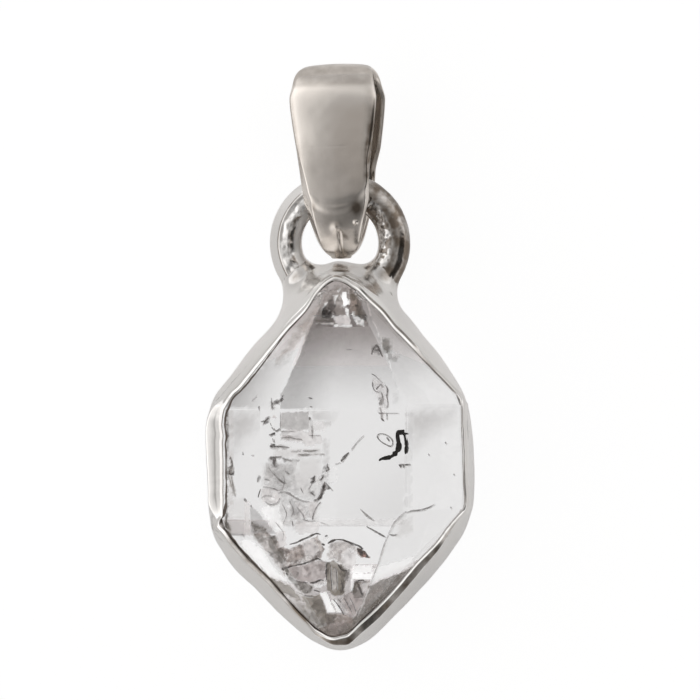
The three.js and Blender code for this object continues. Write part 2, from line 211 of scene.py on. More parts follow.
# Each thread is a tone, its places, and its half widths in squares: one for each place, one for each
# end, or one for all of it.
THREADS = (
    (BLACK_THREAD, ((378.5, 459.5), (381, 457.8), (385, 456.8), (389, 456), (393, 454), (396.5, 450),
        (398.3, 446), (398, 441), (397, 436), (397.5, 432), (400, 430.5), (404, 430.3)), (0.5, 1.3, 2, 2.1,
        2.2, 2.3, 2.3, 2.2, 2.1, 2.1, 1.9, 1.4)),
    (BLACK_THREAD, ((398, 432), (402, 432.6), (407.5, 433)), (1.5, 1.7, 0.5)),
    (BLACK_THREAD, ((403.5, 433), (404.6, 438), (405.6, 443), (405.6, 448), (404.8, 453)), (1.2, 1.3, 1.5,
        1.5, 0.9)),
    (GREY_THREAD, ((398, 463.3), (404, 463.3), (409.5, 463.3)), (0.8, 0.7, 0.5)),
    (GREY_THREAD, ((399.5, 463.6), (400.3, 466)), (1.1,)),
    (GREY_THREAD, ((403, 464), (403.2, 466.5)), (0.7,)),
    (GREY_THREAD, ((272.5, 398), (273, 402), (273.8, 409)), (0.5, 0.8, 0.8)),
    (GREY_THREAD, ((273, 404), (280, 401), (284, 398)), (0.8, 0.8, 0.4)),
    (DARK_THREAD, ((265, 423.5), (267, 420.5), (270.5, 417)), (0.6, 1.1, 0.7)),
    (GREY_THREAD, ((271, 421), (273, 425)), (0.5,)),
    (GREY_THREAD, ((262, 421), (266, 420)), (0.5,)),
    (GREY_THREAD, ((273, 426), (277, 430), (281, 427.5)), (0.6, 0.9, 0.6)),
    (DARK_THREAD, ((270.5, 434), (274, 433.5), (276, 431.5)), (0.7, 1.1, 0.6)),
    (DARK_THREAD, ((271, 445.3), (274, 444.5), (275.5, 443)), (0.6, 1.2, 0.7)),
    (GREY_THREAD, ((274, 437), (275, 441)), (0.6,)),
    (GREY_THREAD, ((271, 457), (275, 457.5), (275, 462), (276, 465)), (1.2, 1.5, 1, 0.5)),
    (DARK_THREAD, ((231, 456), (232.5, 460), (233.5, 464), (232.5, 468), (231.5, 472), (233, 475)), (0.5,
        0.9, 1.2, 2.5, 2.3, 1)),
    (GREY_THREAD, ((232.5, 476), (233.5, 482), (235, 489), (236.5, 496)), (1, 1, 0.8, 0.5)),
    (GREY_THREAD, ((228, 472), (231, 481), (234, 490)), (0.4, 0.5, 0.3)),
    (DARK_THREAD, ((244, 451), (244.6, 454.5)), (0.8, 1.1)),
    (GREY_THREAD, ((252.5, 454.5), (255.5, 454.5)), (0.4,)),
    (DARK_THREAD, ((262, 488), (260.5, 493), (259.5, 496.5)), (0.8, 1.3, 1)),
    (GREY_THREAD, ((259.5, 476), (258.5, 481)), (0.8,)),
    (GREY_THREAD, ((245, 498), (248, 500)), (1.3,)),
    (DARK_THREAD, ((252, 504), (253, 506)), (0.8,)),
    (GREY_THREAD, ((444, 442), (445.2, 443)), (1,)),
    (GREY_THREAD, ((452.5, 473.5), (453.5, 475)), (0.9,)),
    (GREY_THREAD, ((449.5, 506.5), (450.5, 508)), (0.9,)),
    (GREY_THREAD, ((442.5, 537), (443.5, 539)), (0.8,)),
    (PALE_THREAD, ((427, 453), (428, 455)), (1,)),
    (GREY_THREAD, ((253, 401), (256, 398), (258, 395.5)), (1, 0.8, 0.4)),
    (GREY_THREAD, ((260, 406), (260.8, 409.5)), (1.1,)),
    (GREY_THREAD, ((310.5, 406.7), (312.5, 406.3)), (0.7,)),
    (GREY_THREAD, ((308.5, 397.5), (312.5, 398.3)), (0.5,)),
    (GREY_THREAD, ((371, 374), (375, 376), (379, 380), (382, 383)), (0.4,)),
    (GREY_THREAD, ((372, 382), (373, 388), (375, 391), (378, 392)), (0.5,)),
    (DARK_THREAD, ((376, 389.5), (379, 386), (381, 384.5), (382, 388)), (0.8,)),
    (DARK_THREAD, ((381, 392), (382.5, 398), (381, 402), (379.5, 405)), (0.5, 1, 1.9, 0.7)),
    (GREY_THREAD, ((385, 385), (387, 390), (386.5, 396), (387.5, 404), (386.5, 408)), (0.5, 0.9, 0.6, 0.5,
        0.4)),
    (GREY_THREAD, ((379.5, 407), (381, 412), (381.5, 418), (383.5, 420)), (0.4, 0.8, 0.9, 0.5)),
    (GREY_THREAD, ((386.5, 412), (386.5, 419)), (0.4,)),
    (GREY_THREAD, ((378, 412.3), (388, 412.6), (399, 412.5)), (0.6, 0.3, 0.3)),
    (GREY_THREAD, ((376.5, 435), (380, 432.8), (386, 434), (391, 438), (392, 442), (390, 445), (384, 442.5),
        (379, 439), (376.5, 435)), (0.9, 0.5, 0.5, 0.7, 0.5, 0.5, 0.5, 0.5, 0.8)),
    (GREY_THREAD, ((386, 436), (389, 440)), (0.8,)),
    (GREY_THREAD, ((371, 355), (373, 350), (376.5, 346), (379, 350), (382, 357)), (0.4, 0.6, 0.8, 0.8,
        0.6)),
    (GREY_THREAD, ((374, 350.5), (380, 350.5)), (0.6,)),
    (PALE_THREAD, ((364, 434), (358, 440), (351, 449)), (0.5,)),
    (GREY_THREAD, ((349, 451), (345, 455.5), (341, 460)), (0.6, 1.2, 1.5)),
    (PALE_THREAD, ((341, 461), (335, 463)), (0.4,)),
    (GREY_THREAD, ((328, 462), (327.5, 465), (329, 468), (326, 470)), (0.5, 0.8, 0.8, 0.6)),
    (GREY_THREAD, ((324, 473), (322, 477), (320, 479)), (0.7, 0.8, 0.5)),
    (GREY_THREAD, ((315, 474), (314, 480), (311, 481)), (0.5, 0.8, 1.1)),
    (GREY_THREAD, ((325, 480), (324, 486), (322, 491), (319, 497), (314, 498.5)), (0.4, 0.7, 0.9, 1.1,
        0.5)),
    (PALE_THREAD, ((326, 481), (329, 485), (333, 489)), (0.4, 0.7, 0.5)),
    (GREY_THREAD, ((310, 490), (313, 492), (315, 494)), (0.5, 1, 0.6)),
    (GREY_THREAD, ((314, 475), (312, 483), (309, 488)), (0.5, 0.4, 0.4)),
    (PALE_THREAD, ((281, 430.5), (290, 430.3), (297, 430.5)), (0.5, 0.4, 0.3)),
    (PALE_THREAD, ((281, 436.5), (290, 436.5), (297, 438), (303, 438.5)), (0.3, 0.7, 0.8, 0.5)),
    (GREY_THREAD, ((272, 445.6), (281, 445.4), (290, 446.5)), (0.8, 0.6, 0.3)),
    (PALE_THREAD, ((303, 449.6), (311, 449.5), (318, 449)), (0.3, 0.8, 0.3)),
    (PALE_THREAD, ((299, 453.6), (305, 453.8), (311, 453.6)), (0.4, 0.7, 0.3)),
    (GREY_THREAD, ((271, 456), (283, 455.5)), (0.9, 0.3)),
    (PALE_THREAD, ((283, 457), (292, 459.5)), (0.7,)),
    (PALE_THREAD, ((309, 434.3), (321, 434.3)), (0.4,)),
    (GREY_THREAD, ((309.5, 416), (310.5, 419)), (1,)),
    (PALE_THREAD, ((312, 424), (312.5, 430), (313, 438)), (0.5, 0.6, 0.4)),
    (PALE_THREAD, ((270, 466), (276, 474), (282, 480), (287, 482)), (0.4, 0.7, 1, 0.4)),
    (PALE_THREAD, ((264, 485.5), (272, 486.3), (279, 489)), (0.5, 0.8, 0.4)),
    (PALE_THREAD, ((279, 491.5), (284, 490), (290, 492), (296, 496), (303, 499), (310, 500)), (0.5, 0.9,
        0.9, 0.9, 0.7, 0.5)),
    (PALE_THREAD, ((266, 500), (272, 503), (278, 501), (281, 496)), (0.6, 0.9, 0.8, 0.4)),
    (PALE_THREAD, ((278, 489), (283, 487), (285, 480), (284, 474)), (0.4, 0.5, 0.5, 0.3)),
    (PALE_THREAD, ((297, 505), (303, 512), (305, 517)), (0.4, 0.7, 0.6)),
    (PALE_THREAD, ((290, 499), (294, 508), (292, 515)), (0.4, 0.5, 0.4)),
    (PALE_THREAD, ((283, 502), (287, 512), (284, 522)), (0.4, 0.5, 0.3)),
    (GREY_THREAD, ((313, 518), (314, 512), (317, 505), (321, 500)), (0.6, 0.5, 0.4, 0.5)),
    (GREY_THREAD, ((293, 519), (293.5, 524)), (0.4, 0.5)),
    (PALE_THREAD, ((303, 517), (309, 519), (316, 519)), (0.5, 0.4, 0.4)),
    (PALE_THREAD, ((276, 520), (284, 530), (283, 540)), (0.5, 0.4, 0.4)),
    (PALE_THREAD, ((320, 520), (329, 523)), (0.3,)),
    (GREY_THREAD, ((301, 486), (304, 492)), (0.3,)),
    (GREY_THREAD, ((266, 478), (271, 479)), (0.9,)),
    (PALE_THREAD, ((262, 497), (268, 494), (276, 496)), (0.4, 0.6, 0.3)),
    (PALE_THREAD, ((286, 470), (290, 473)), (0.7,)),
    (DARK_THREAD, ((290, 542), (297, 540), (303, 537), (309, 534.5), (313, 532.5), (317, 531), (321, 532)),
        (0.6, 1, 1, 1.1, 1.3, 1, 0.5)),
    (DARK_THREAD, ((328, 541), (332, 538.5), (336, 537.2), (342, 537.2), (347, 539), (353, 541.5),
        (359, 543.5), (363, 547)), (0.7, 1.3, 1, 1.2, 1, 1.5, 1, 1)),
    (DARK_THREAD, ((357, 546), (361, 549), (365, 552.5), (368.5, 555)), (1, 2.6, 2.4, 0.8)),
    (DARK_THREAD, ((284, 567), (290, 564.5), (297, 563), (305, 561), (312, 558.5), (317, 556.5),
        (322, 558)), (1.2, 0.9, 0.9, 1.1, 0.9, 0.9, 0.5)),
    (GREY_THREAD, ((295, 578.5), (301, 580), (308, 581)), (0.5, 0.8, 1)),
    (DARK_THREAD, ((310, 581), (315, 580.3), (321, 578), (324, 578.5)), (0.6, 1.3, 1.1, 0.5)),
    (DARK_THREAD, ((283, 566), (285.5, 568)), (2,)),
    (DARK_THREAD, ((287.5, 571), (289, 573.5)), (1.7,)),
    (DARK_THREAD, ((277.5, 558.5), (279, 560)), (1.3,)),
    (DARK_THREAD, ((269, 549.5), (271.5, 551)), (1.1,)),
    (DARK_THREAD, ((322, 541), (325, 543)), (1.2,)),
    (DARK_THREAD, ((328, 533), (325, 534)), (0.7,)),
    (PALE_THREAD, ((360, 507), (367, 514), (374, 519)), (0.5, 1.2, 0.4)),
    (GREY_THREAD, ((366, 524), (372, 527), (379, 531), (385, 534.5)), (0.5, 0.9, 0.9, 0.7)),
    (PALE_THREAD, ((370, 583), (374, 572), (378, 561), (382, 547), (386, 536), (392, 523), (398, 516),
        (404, 510.5)), (0.45,)),
    (GREY_THREAD, ((404, 510.5), (411, 509), (418, 508.5), (427, 506.5), (434, 503)), (0.5, 0.7, 0.6, 0.7,
        0.3)),
    (PALE_THREAD, ((229, 533.5), (237, 533.5), (246, 533.8)), (0.6,)),
    (GREY_THREAD, ((243, 532.5), (245.5, 535.5)), (0.7, 1)),
    (PALE_THREAD, ((281, 411), (281, 430)), (0.4,)),
    (GREY_THREAD, ((389, 532), (393, 533), (397, 532)), (0.6, 1.1, 0.3)),
    (DARK_THREAD, ((357, 580), (360, 587), (363, 594)), (0.6, 1.3, 0.6)),
    (DARK_THREAD, ((351, 591), (354, 585), (358, 579), (364, 578)), (0.5, 0.8, 0.9, 0.8)),
    (DARK_THREAD, ((333, 597), (337, 602), (341, 608), (344, 614)), (0.5, 0.7, 0.7, 0.4)),
    (DARK_THREAD, ((338, 597), (343, 603), (347, 610)), (0.4, 0.7, 0.4)),
    (GREY_THREAD, ((344, 596), (348, 603), (352, 611)), (0.4, 0.6, 0.4)),
    (GREY_THREAD, ((350, 596), (354, 604), (356, 611)), (0.4, 0.5, 0.3)),
    (GREY_THREAD, ((297, 590), (306, 594), (313, 594.5)), (0.5,)),
    (DARK_THREAD, ((314, 588), (320, 590)), (0.8,)),
    (DARK_THREAD, ((262, 566), (263.5, 569)), (0.9,)),
    (DARK_THREAD, ((338, 562), (342, 567), (347, 569)), (0.5, 1.2, 0.8)),
    (DARK_THREAD, ((341, 578), (343, 584), (342, 590)), (0.5, 0.9, 0.4)),
    (DARK_THREAD, ((327, 562), (326.5, 570), (327, 579)), (0.5, 0.8, 0.5)),
    (GREY_THREAD, ((331, 562), (331, 575), (332, 588)), (0.3, 0.6, 0.4)),
    (GREY_THREAD, ((336, 566), (337, 578), (337, 588)), (0.4,)),
    (GREY_THREAD, ((352, 349.8), (346, 350)), (0.3,)),
    (DARK_THREAD, ((315, 321.5), (322, 321), (330, 322), (340, 321.5)), (0.5, 0.9, 0.7, 0.3)),
)
# Each film is a colour, strength, softness of its edge, depth below the face, grain and outline, and of
# some the two places between which it grows.
FILMS = (
    # The first four films fade in across the crystal's upper faces: painted shade, the crystal darkening
    # towards its top.
    (SMOKE_AND_SHADE, 0.6, 0.25, 0.1, 0.06, ((217, 408), (262, 364), (300, 326), (316, 311), (301, 355), (281, 396),
        (281, 408.5)), ((284, 392), (240, 370))),
    (SMOKE_AND_SHADE, 0.52, 0.05, 0.1, 0.05, ((319, 309), (300, 355), (281, 396), (281, 408.5), (404, 408.5),
        (398, 392), (384, 350), (370, 316), (366, 300)), ((345, 414), (345, 335))),
    (SMOKE_AND_SHADE, 0.42, 0.05, 0.13, 0.05, ((319, 309), (300, 355), (281, 396), (281, 408.5), (345, 408.5),
        (345, 320), (336, 300)), ((338, 402), (290, 395))),
    (SMOKE_AND_SHADE, 0.42, 0.06, 0.1, 0.05, ((404, 408.5), (398, 392), (384, 350), (370, 316), (366, 300),
        (420, 352), (462, 400), (462, 408)), ((412, 404), (392, 345))),
    (SMOKE_AND_SHADE, 0.75, 0.06, 0.07, 0.7, ((271, 402), (275, 401), (279, 399), (284, 395), (283, 401), (278, 405),
        (275, 410), (272, 409))),
    (SMOKE_AND_SHADE, 0.85, 0.05, 0.07, 0.7, ((264, 425), (265.5, 420), (270, 415.5), (272.5, 417), (269, 422))),
    (SMOKE_AND_SHADE, 0.6, 0.06, 0.07, 0.9, ((326, 462), (331, 466), (329, 471), (324, 471), (323, 477), (318, 481),
        (320, 474), (323, 468))),
    (SMOKE_AND_SHADE, 0.8, 0.05, 0.07, 0.8, ((325, 480), (328, 484), (331, 487), (326, 489), (322, 497), (314, 500),
        (319, 494), (322, 486))),
    (SMOKE_AND_SHADE, 0.5, 0.06, 0.07, 0.9, ((312, 476), (316, 474), (315, 480), (311, 483))),
    (SMOKE_AND_SHADE, 0.5, 0.06, 0.07, 0.9, ((309, 489), (314, 490), (316, 494), (311, 493))),
    (SMOKE_AND_SHADE, 0.7, 0.08, 0.09, 0.7, ((379, 397), (384, 398), (383, 404), (380, 408), (378, 404))),
    (SMOKE_AND_SHADE, 0.6, 0.05, 0.06, 0.8, ((272, 443), (276, 442), (277, 446), (272, 447))),
    (SMOKE_AND_SHADE, 0.6, 0.05, 0.06, 0.8, ((270, 434), (275, 432), (277, 434), (272, 436))),
    (SMOKE_AND_SHADE, 0.5, 0.08, 0.06, 0.8, ((259, 473), (262, 474), (261, 482), (258, 482))),
    (UMBER, 0.8, 0.06, 0.08, 0.5, ((230, 456), (233, 458), (235, 466), (234, 476), (229, 474), (228, 468),
        (231, 464))),
    (TAN, 0.45, 0.08, 0.09, 0.2, ((228, 470), (233, 477), (237, 496), (234, 495), (230, 482))),
    (UMBER, 0.5, 0.35, 0.1, 0.2, ((283, 598), (313, 610), (330, 625), (356, 620), (372, 600), (395, 585),
        (372, 612), (352, 632), (340, 637), (325, 636), (312, 628))),
    (UMBER, 0.8, 0.06, 0.06, 0.3, ((339, 635), (349, 628), (361, 616), (366, 613), (356, 624), (350, 631),
        (343, 635.5))),
    (UMBER, 0.85, 0.05, 0.06, 0.4, ((238, 546.5), (241, 547), (259, 566), (268, 575), (283, 594),
        (302, 614), (310, 623), (318, 631), (324, 633.5), (318, 633), (308, 624), (296, 610), (280, 592),
        (265, 574.5), (256, 566))),
    (TAUPE, 0.12, 0.25, 0.18, 1, ((264, 462), (284, 462), (300, 470), (322, 496), (318, 522), (296, 530),
        (280, 522), (270, 506), (260, 498))),
    (PEARL, 0.15, 0.2, 0.12, 1, ((266, 478), (290, 480), (300, 492), (320, 500), (318, 516), (296, 520),
        (284, 508), (268, 500))),
    (UMBER, 0.8, 0.06, 0.05, 0.35, ((226, 408), (229.5, 408), (229.5, 450), (228.5, 456), (226, 454))),
    (UMBER, 0.45, 0.06, 0.05, 0.5, ((226, 452), (229, 452), (229, 506), (226, 506))),
    (UMBER, 0.85, 0.06, 0.05, 0.3, ((225.5, 505), (229, 505), (229, 522), (232, 534), (228, 532),
        (225.5, 524))),
    (CLAY, 0.25, 0.25, 0.06, 0.1, ((229, 410), (234, 410), (234, 520), (229, 520))),
    (UMBER, 0.5, 0.08, 0.06, 0.3, ((382, 340), (389, 340), (390, 350), (383, 349))),
    (UMBER, 0.95, 0.18, 0.06, 0.25, ((382, 338), (391, 338), (392, 348), (389, 354), (383, 351))),
    (UMBER, 0.5, 0.1, 0.06, 0.3, ((388, 352), (393, 355), (397, 354), (399, 352), (400, 357), (397, 362),
        (392, 362), (388, 358))),
    (PEARL, 0.5, 0.1, 0.04, 0.2, ((392, 353), (397, 352), (398, 357), (393, 358))),
    (SMOKE_AND_SHADE, 0.5, 0.1, 0.12, 0.4, ((374, 346), (378, 345), (380, 350), (383, 357), (379, 355), (376, 352),
        (371, 355), (372, 350))),
    (PEARL, 0.4, 0.12, 0.12, 0.4, ((372, 380), (380, 378), (386, 388), (388, 402), (385, 418), (380, 418),
        (378, 400), (374, 392))),
    (SMOKE_AND_SHADE, 0.2, 0.2, 0.13, 0.2, ((392, 393), (398, 393), (398, 404), (392, 404))),
    (CLAY, 0.65, 0.4, 0.12, 0.2, ((277, 360), (300, 325), (318, 306), (310, 330), (292, 352), (276, 366))),
    (SMOKE_AND_SHADE, 0.16, 0.3, 0.13, 0.3, ((272, 365), (290, 357), (292, 361), (280, 372))),
    (TAUPE, 0.52, 0.06, 0.4, 0.12, ((281, 411), (309, 411), (309, 428), (300, 430), (290, 430),
        (281, 428))),
    (TAUPE, 0.42, 0.2, 0.4, 0.12, ((308, 411), (343, 410.5), (339, 417), (334, 421), (326, 423), (325, 420),
        (311, 420)), ((350, 412), (300, 412))),
    (TAUPE, 0.3, 0.12, 0.35, 0.2, ((309, 420), (314, 420), (314, 433), (309, 434))),
    (TAUPE, 0.25, 0.12, 0.35, 0.2, ((323, 421), (331, 421), (330, 428), (324, 428))),
    (PEARL, 0.35, 0.1, 0.3, 0.15, ((313, 421), (325, 420.5), (326, 430), (314, 432))),
    # These two broad films fade in towards the top of the crystal's side faces: painted shade.
    (TAUPE, 0.48, 1.2, 0.3, 0.1, ((229, 410), (262, 411), (262, 428), (240, 455), (229, 520)), ((252, 470),
        (226, 425))),
    (TAUPE, 0.55, 1, 0.3, 0.1, ((405, 412), (458, 405), (458, 428), (430, 440), (408, 462)), ((438, 458),
        (402, 408))),
    (PEARL, 0.6, 0.1, 0.2, 0.2, ((283, 429), (297, 428.5), (308, 431), (322, 434), (322, 445), (303, 445),
        (300, 441), (286, 440), (281, 434))),
    (TAUPE, 0.55, 0.08, 0.16, 0.2, ((281, 434.5), (292, 435), (304, 438), (303, 440.5), (290, 439),
        (282, 438))),
    (TAUPE, 0.5, 0.08, 0.16, 0.2, ((270, 444), (280, 443.5), (292, 446), (285, 448.5), (275, 447.5))),
    (CLAY, 0.22, 0.15, 0.2, 0.15, ((275, 448), (300, 448), (323, 449), (322, 454), (300, 456), (276, 455))),
    (TAUPE, 0.5, 0.06, 0.15, 0.2, ((291, 449.5), (311, 448.5), (324, 449), (311, 451), (293, 451))),
    (TAUPE, 0.65, 0.06, 0.15, 0.2, ((298, 452.5), (325, 452.5), (325, 454.3), (299, 455.3))),
    (SMOKE_AND_SHADE, 0.5, 0.1, 0.15, 0.35, ((269, 455.5), (284, 454.5), (291, 457), (300, 459), (290, 461),
        (279, 459), (277, 466), (274, 465), (273, 460), (269, 461))),
    (CLAY, 0.2, 0.4, 0.25, 0.1, ((297, 455), (322, 455), (322, 480), (320, 498), (300, 495), (290, 480),
        (296, 465))),
    (TAUPE, 0.35, 0.2, 0.2, 0.25, ((268, 462), (285, 462), (297, 458), (297, 470), (288, 476), (292, 490),
        (285, 487), (276, 478), (268, 474))),
    (TAUPE, 0.3, 0.3, 0.2, 0.15, ((324, 437), (329, 437), (330, 470), (325, 476), (323, 460))),
    (TAUPE, 0.3, 0.2, 0.2, 0.3, ((266, 466), (274, 468), (282, 478), (284, 486), (276, 486), (266, 484))),
    (PEARL, 0.7, 0.07, 0.16, 0.15, ((264, 487), (272, 486.5), (279, 489), (281, 496), (278, 502),
        (271, 503), (265, 500), (262, 494))),
    (WHITE, 0.5, 0.07, 0.13, 0.2, ((272, 488), (276, 489), (276, 499), (273, 500))),
    (WHITE, 0.6, 0.06, 0.1, 0.5, ((265, 478), (270, 478), (271, 484), (266, 484))),
    (TAUPE, 0.2, 0.12, 0.18, 0.2, ((283, 491), (290, 491), (294, 497), (294, 520), (290, 523), (283, 523),
        (281, 510), (281, 498))),
    (PEARL, 0.55, 0.07, 0.12, 0.3, ((296, 500), (302, 502), (307, 512), (308, 518), (303, 516),
        (299, 510))),
    (PEARL, 0.5, 0.07, 0.12, 0.3, ((309, 500), (318, 500), (317, 508), (313, 516), (309, 516))),
    (WHITE, 0.95, 0.04, 0.06, 0.1, ((288, 503.5), (291, 503.2), (291.5, 505.5), (288.5, 505.8))),
    (TAUPE, 0.35, 0.12, 0.15, 0.4, ((291, 506), (299, 510), (304, 518), (300, 522), (293, 518))),
    (PEARL, 0.55, 0.08, 0.15, 0.15, ((296, 519), (319, 519.5), (320, 530), (300, 532), (295, 528))),
    (WHITE, 0.6, 0.1, 0.15, 0.1, ((262, 508), (270, 504), (280, 504), (282, 516), (285, 528), (277, 530),
        (270, 521))),
    (WHITE, 0.4, 0.1, 0.15, 0.1, ((330, 466), (337, 466), (338, 478), (331, 482), (327, 478), (326, 470))),
    (WHITE, 0.5, 0.08, 0.1, 0.3, ((311, 483), (318, 481), (322, 489), (317, 496), (311, 492))),
    (SMOKE_AND_SHADE, 0.42, 0.04, 0.2, 0.1, ((252, 504), (258, 509), (265, 517), (272, 525), (277, 531), (262, 532),
        (253, 532))),
    (UMBER, 0.85, 0.15, 0.18, 0.15, ((253, 520), (260, 523), (268, 527), (267, 531), (258, 531),
        (253, 528))),
    (PEARL, 0.5, 0.08, 0.2, 0.1, ((246, 500), (251.5, 500), (251.5, 534), (246, 534))),
    (CLAY, 0.13, 0.3, 0.2, 0.05, ((229, 496), (251, 498), (251, 517), (229, 517))),
    (CLAY, 0.12, 0.06, 0.2, 0.02, ((227, 516), (253, 516), (253, 533), (232, 533))),
    (WHITE, 0.45, 0.06, 0.2, 0.02, ((276, 517), (402, 517), (398, 523), (276, 523))),
    (SMOKE_AND_SHADE, 0.11, 0.3, 0.2, 0.05, ((335, 440), (405, 430), (405, 523), (335, 523)), ((350, 462),
        (402, 520))),
    (SMOKE_AND_SHADE, 0.1, 0.15, 0.2, 0.05, ((404, 412), (411, 412), (410, 505), (404, 508))),
    (WHITE, 0.72, 0.1, 0.15, 0.06, ((243, 545), (240, 538), (254, 537), (262, 547), (270, 558), (280, 571),
        (289, 581), (276, 578), (266, 573), (256, 562), (248, 552))),
    (CLAY, 0.85, 0.06, 0.3, 0.5, ((254, 532), (268, 530.5), (276, 532), (281, 544), (287, 546), (296, 543),
        (300, 541), (318, 533), (325, 545), (322, 556), (308, 560), (290, 564), (286, 574), (279, 563),
        (272, 554))),
    (UMBER, 0.75, 0.12, 0.2, 0.3, ((270, 532), (277, 532), (278, 545), (285, 549), (287, 557), (282, 562),
        (275, 551), (270, 540))),
    (UMBER, 0.6, 0.12, 0.18, 0.4, ((255, 532), (266, 532), (268, 538), (262, 541), (256, 536))),
    (PEARL, 0.85, 0.05, 0.12, 0.15, ((277, 530), (285, 529), (288, 543), (281, 545), (279, 538))),
    (PEARL, 0.75, 0.08, 0.12, 0.35, ((301, 540), (313, 535), (317, 538), (320, 547), (315, 555), (306, 553),
        (303, 547))),
    (CLAY, 0.5, 0.1, 0.12, 0.4, ((288, 548), (300, 544), (304, 553), (296, 560), (288, 560))),
    (WHITE, 0.5, 0.06, 0.1, 0.4, ((325, 533), (329, 534), (329, 540), (324, 541), (322, 537))),
    (MAUVE, 0.8, 0.07, 0.14, 0.3, ((290, 566), (303, 562.5), (314, 558.5), (322, 557), (326, 560),
        (327, 575), (320, 578), (312, 580), (300, 579.5), (294, 577), (290, 572))),
    (TAUPE, 0.5, 0.1, 0.12, 0.4, ((291, 566), (297, 564), (299, 574), (297, 579), (291, 573))),
    (PEARL, 0.35, 0.08, 0.12, 0.3, ((303, 563), (309, 561), (308, 575), (303, 574))),
    (TAUPE, 0.4, 0.1, 0.12, 0.3, ((317, 558), (326, 559), (326, 568), (319, 570))),
    (UMBER, 0.85, 0.05, 0.16, 0.3, ((284, 567), (289, 564), (292, 574), (298, 579), (307, 581), (313, 584),
        (312, 590), (302, 592), (296, 586), (290, 577))),
    (WHITE, 0.85, 0.05, 0.1, 0.35, ((314, 582.5), (320, 582), (327, 579.5), (326, 583), (321, 586),
        (315, 585))),
    (TAN, 0.8, 0.08, 0.3, 0.15, ((265, 572.5), (290, 583), (299, 592), (307, 601), (297, 598), (283, 592),
        (272, 582))),
    (UMBER, 0.85, 0.15, 0.2, 0.2, ((283, 598), (290, 602), (300, 612), (310, 622), (322, 633), (316, 634),
        (300, 620), (285, 604))),
    (TAN, 0.7, 0.25, 0.35, 0.2, ((296, 597), (307, 601), (313, 612), (318, 626), (310, 620), (300, 608))),
    (TAN, 0.85, 0.06, 0.22, 0.2, ((301, 594), (319, 592.5), (324, 600), (328, 612), (326, 622), (318, 628),
        (312, 613), (306, 602))),
    (UMBER, 0.6, 0.1, 0.16, 0.15, ((311, 597), (321, 596), (327, 611), (318, 614), (312, 606))),
    (PEARL, 0.5, 0.08, 0.14, 0.3, ((318, 616), (321, 615), (323, 623), (318, 624))),
    (CLAY, 0.85, 0.08, 0.24, 0.3, ((325, 612), (345, 612), (352, 616), (354, 624), (346, 632), (336, 636),
        (326, 633), (319, 627), (326, 622))),
    (MAUVE, 0.6, 0.1, 0.14, 0.35, ((329, 622), (345, 620), (349, 627), (338, 634), (328, 631))),
    (UMBER, 0.8, 0.08, 0.14, 0.15, ((325.5, 612), (338, 612.5), (335, 619), (332, 623), (326, 620))),
    (TAN, 0.9, 0.05, 0.2, 0.2, ((327, 560), (333, 556), (341, 562), (346, 568), (346, 578), (344, 592),
        (333, 594), (327, 588))),
    (UMBER, 0.85, 0.08, 0.15, 0.25, ((326, 560), (329.5, 560), (329.5, 580), (327, 582))),
    (UMBER, 0.85, 0.1, 0.15, 0.3, ((340, 561), (347, 567), (349.5, 571), (345, 578), (344, 591), (340, 592),
        (342, 575))),
    (SMOKE_AND_SHADE, 0.6, 0.06, 0.12, 0.15, ((345.5, 568), (349.8, 567), (349.8, 580), (345, 580))),
    (PEARL, 0.5, 0.1, 0.12, 0.3, ((333, 566), (337, 566), (336, 590), (333, 590))),
    (CLAY, 0.55, 0.08, 0.2, 0.35, ((330, 539), (336, 537.5), (346, 538), (356, 542), (362, 547), (356, 548),
        (348, 545), (342, 552), (345, 560), (340, 562), (332, 556), (327, 560), (328, 548))),
    (PEARL, 0.6, 0.1, 0.16, 0.25, ((344, 548), (356, 549), (356, 556), (352, 570), (347, 566), (341, 560))),
    (RUST, 0.9, 0.05, 0.12, 0.3, ((357, 545), (361, 547), (366, 551), (370, 555.5), (362, 555),
        (357, 551))),
    (PINK, 0.8, 0.05, 0.08, 0.2, ((362, 551), (366, 553), (366, 555.5), (362, 555))),
    (WHITE, 0.9, 0.08, 0.16, 0.05, ((351, 562), (373, 562), (372, 571), (350, 571))),
    (WHITE, 0.62, 0.06, 0.16, 0.04, ((372, 565), (395, 560), (414, 554), (413, 565), (396, 573),
        (380, 577.5), (370, 583), (371, 572))),
    (WHITE, 1, 0.03, 0.08, 0.02, ((352, 571.3), (372, 571.3), (371, 577.5), (351.5, 577))),
    (WHITE, 0.85, 0.04, 0.08, 0.05, ((350.5, 577), (354, 577), (352.5, 590), (350.5, 590))),
    (TAUPE, 0.85, 0.06, 0.16, 0.3, ((354, 578.5), (370, 578.5), (368, 585), (363, 596), (354, 596),
        (352, 590))),
    (UMBER, 0.85, 0.06, 0.12, 0.2, ((354, 580), (361, 579), (356, 590), (353, 593), (352, 588))),
    (PEARL, 0.8, 0.07, 0.1, 0.2, ((361, 581), (369, 581), (367, 588), (363, 591))),
    (MAUVE, 0.8, 0.08, 0.16, 0.3, ((345, 593), (352, 590), (362, 596), (361, 603), (356, 612), (352, 616),
        (346, 612), (341, 600))),
    (UMBER, 0.8, 0.06, 0.3, 0.12, ((369, 583.5), (380, 578), (396, 573), (413, 565.5), (405, 577),
        (393, 591), (380, 603), (365, 616), (350, 627), (354, 615), (362, 602))),
    (CLAY, 0.35, 0.2, 0.2, 0.25, ((366, 590), (378, 582), (382, 590), (372, 600), (364, 606), (360, 604))),
    (WHITE, 1, 0.03, 0.1, 0.02, ((320.5, 591), (326, 590), (330, 597), (335.5, 611), (328, 611),
        (324, 601))),
    (WHITE, 0.95, 0.04, 0.1, 0.05, ((331.5, 599), (336, 598), (343.5, 611), (337.5, 611))),
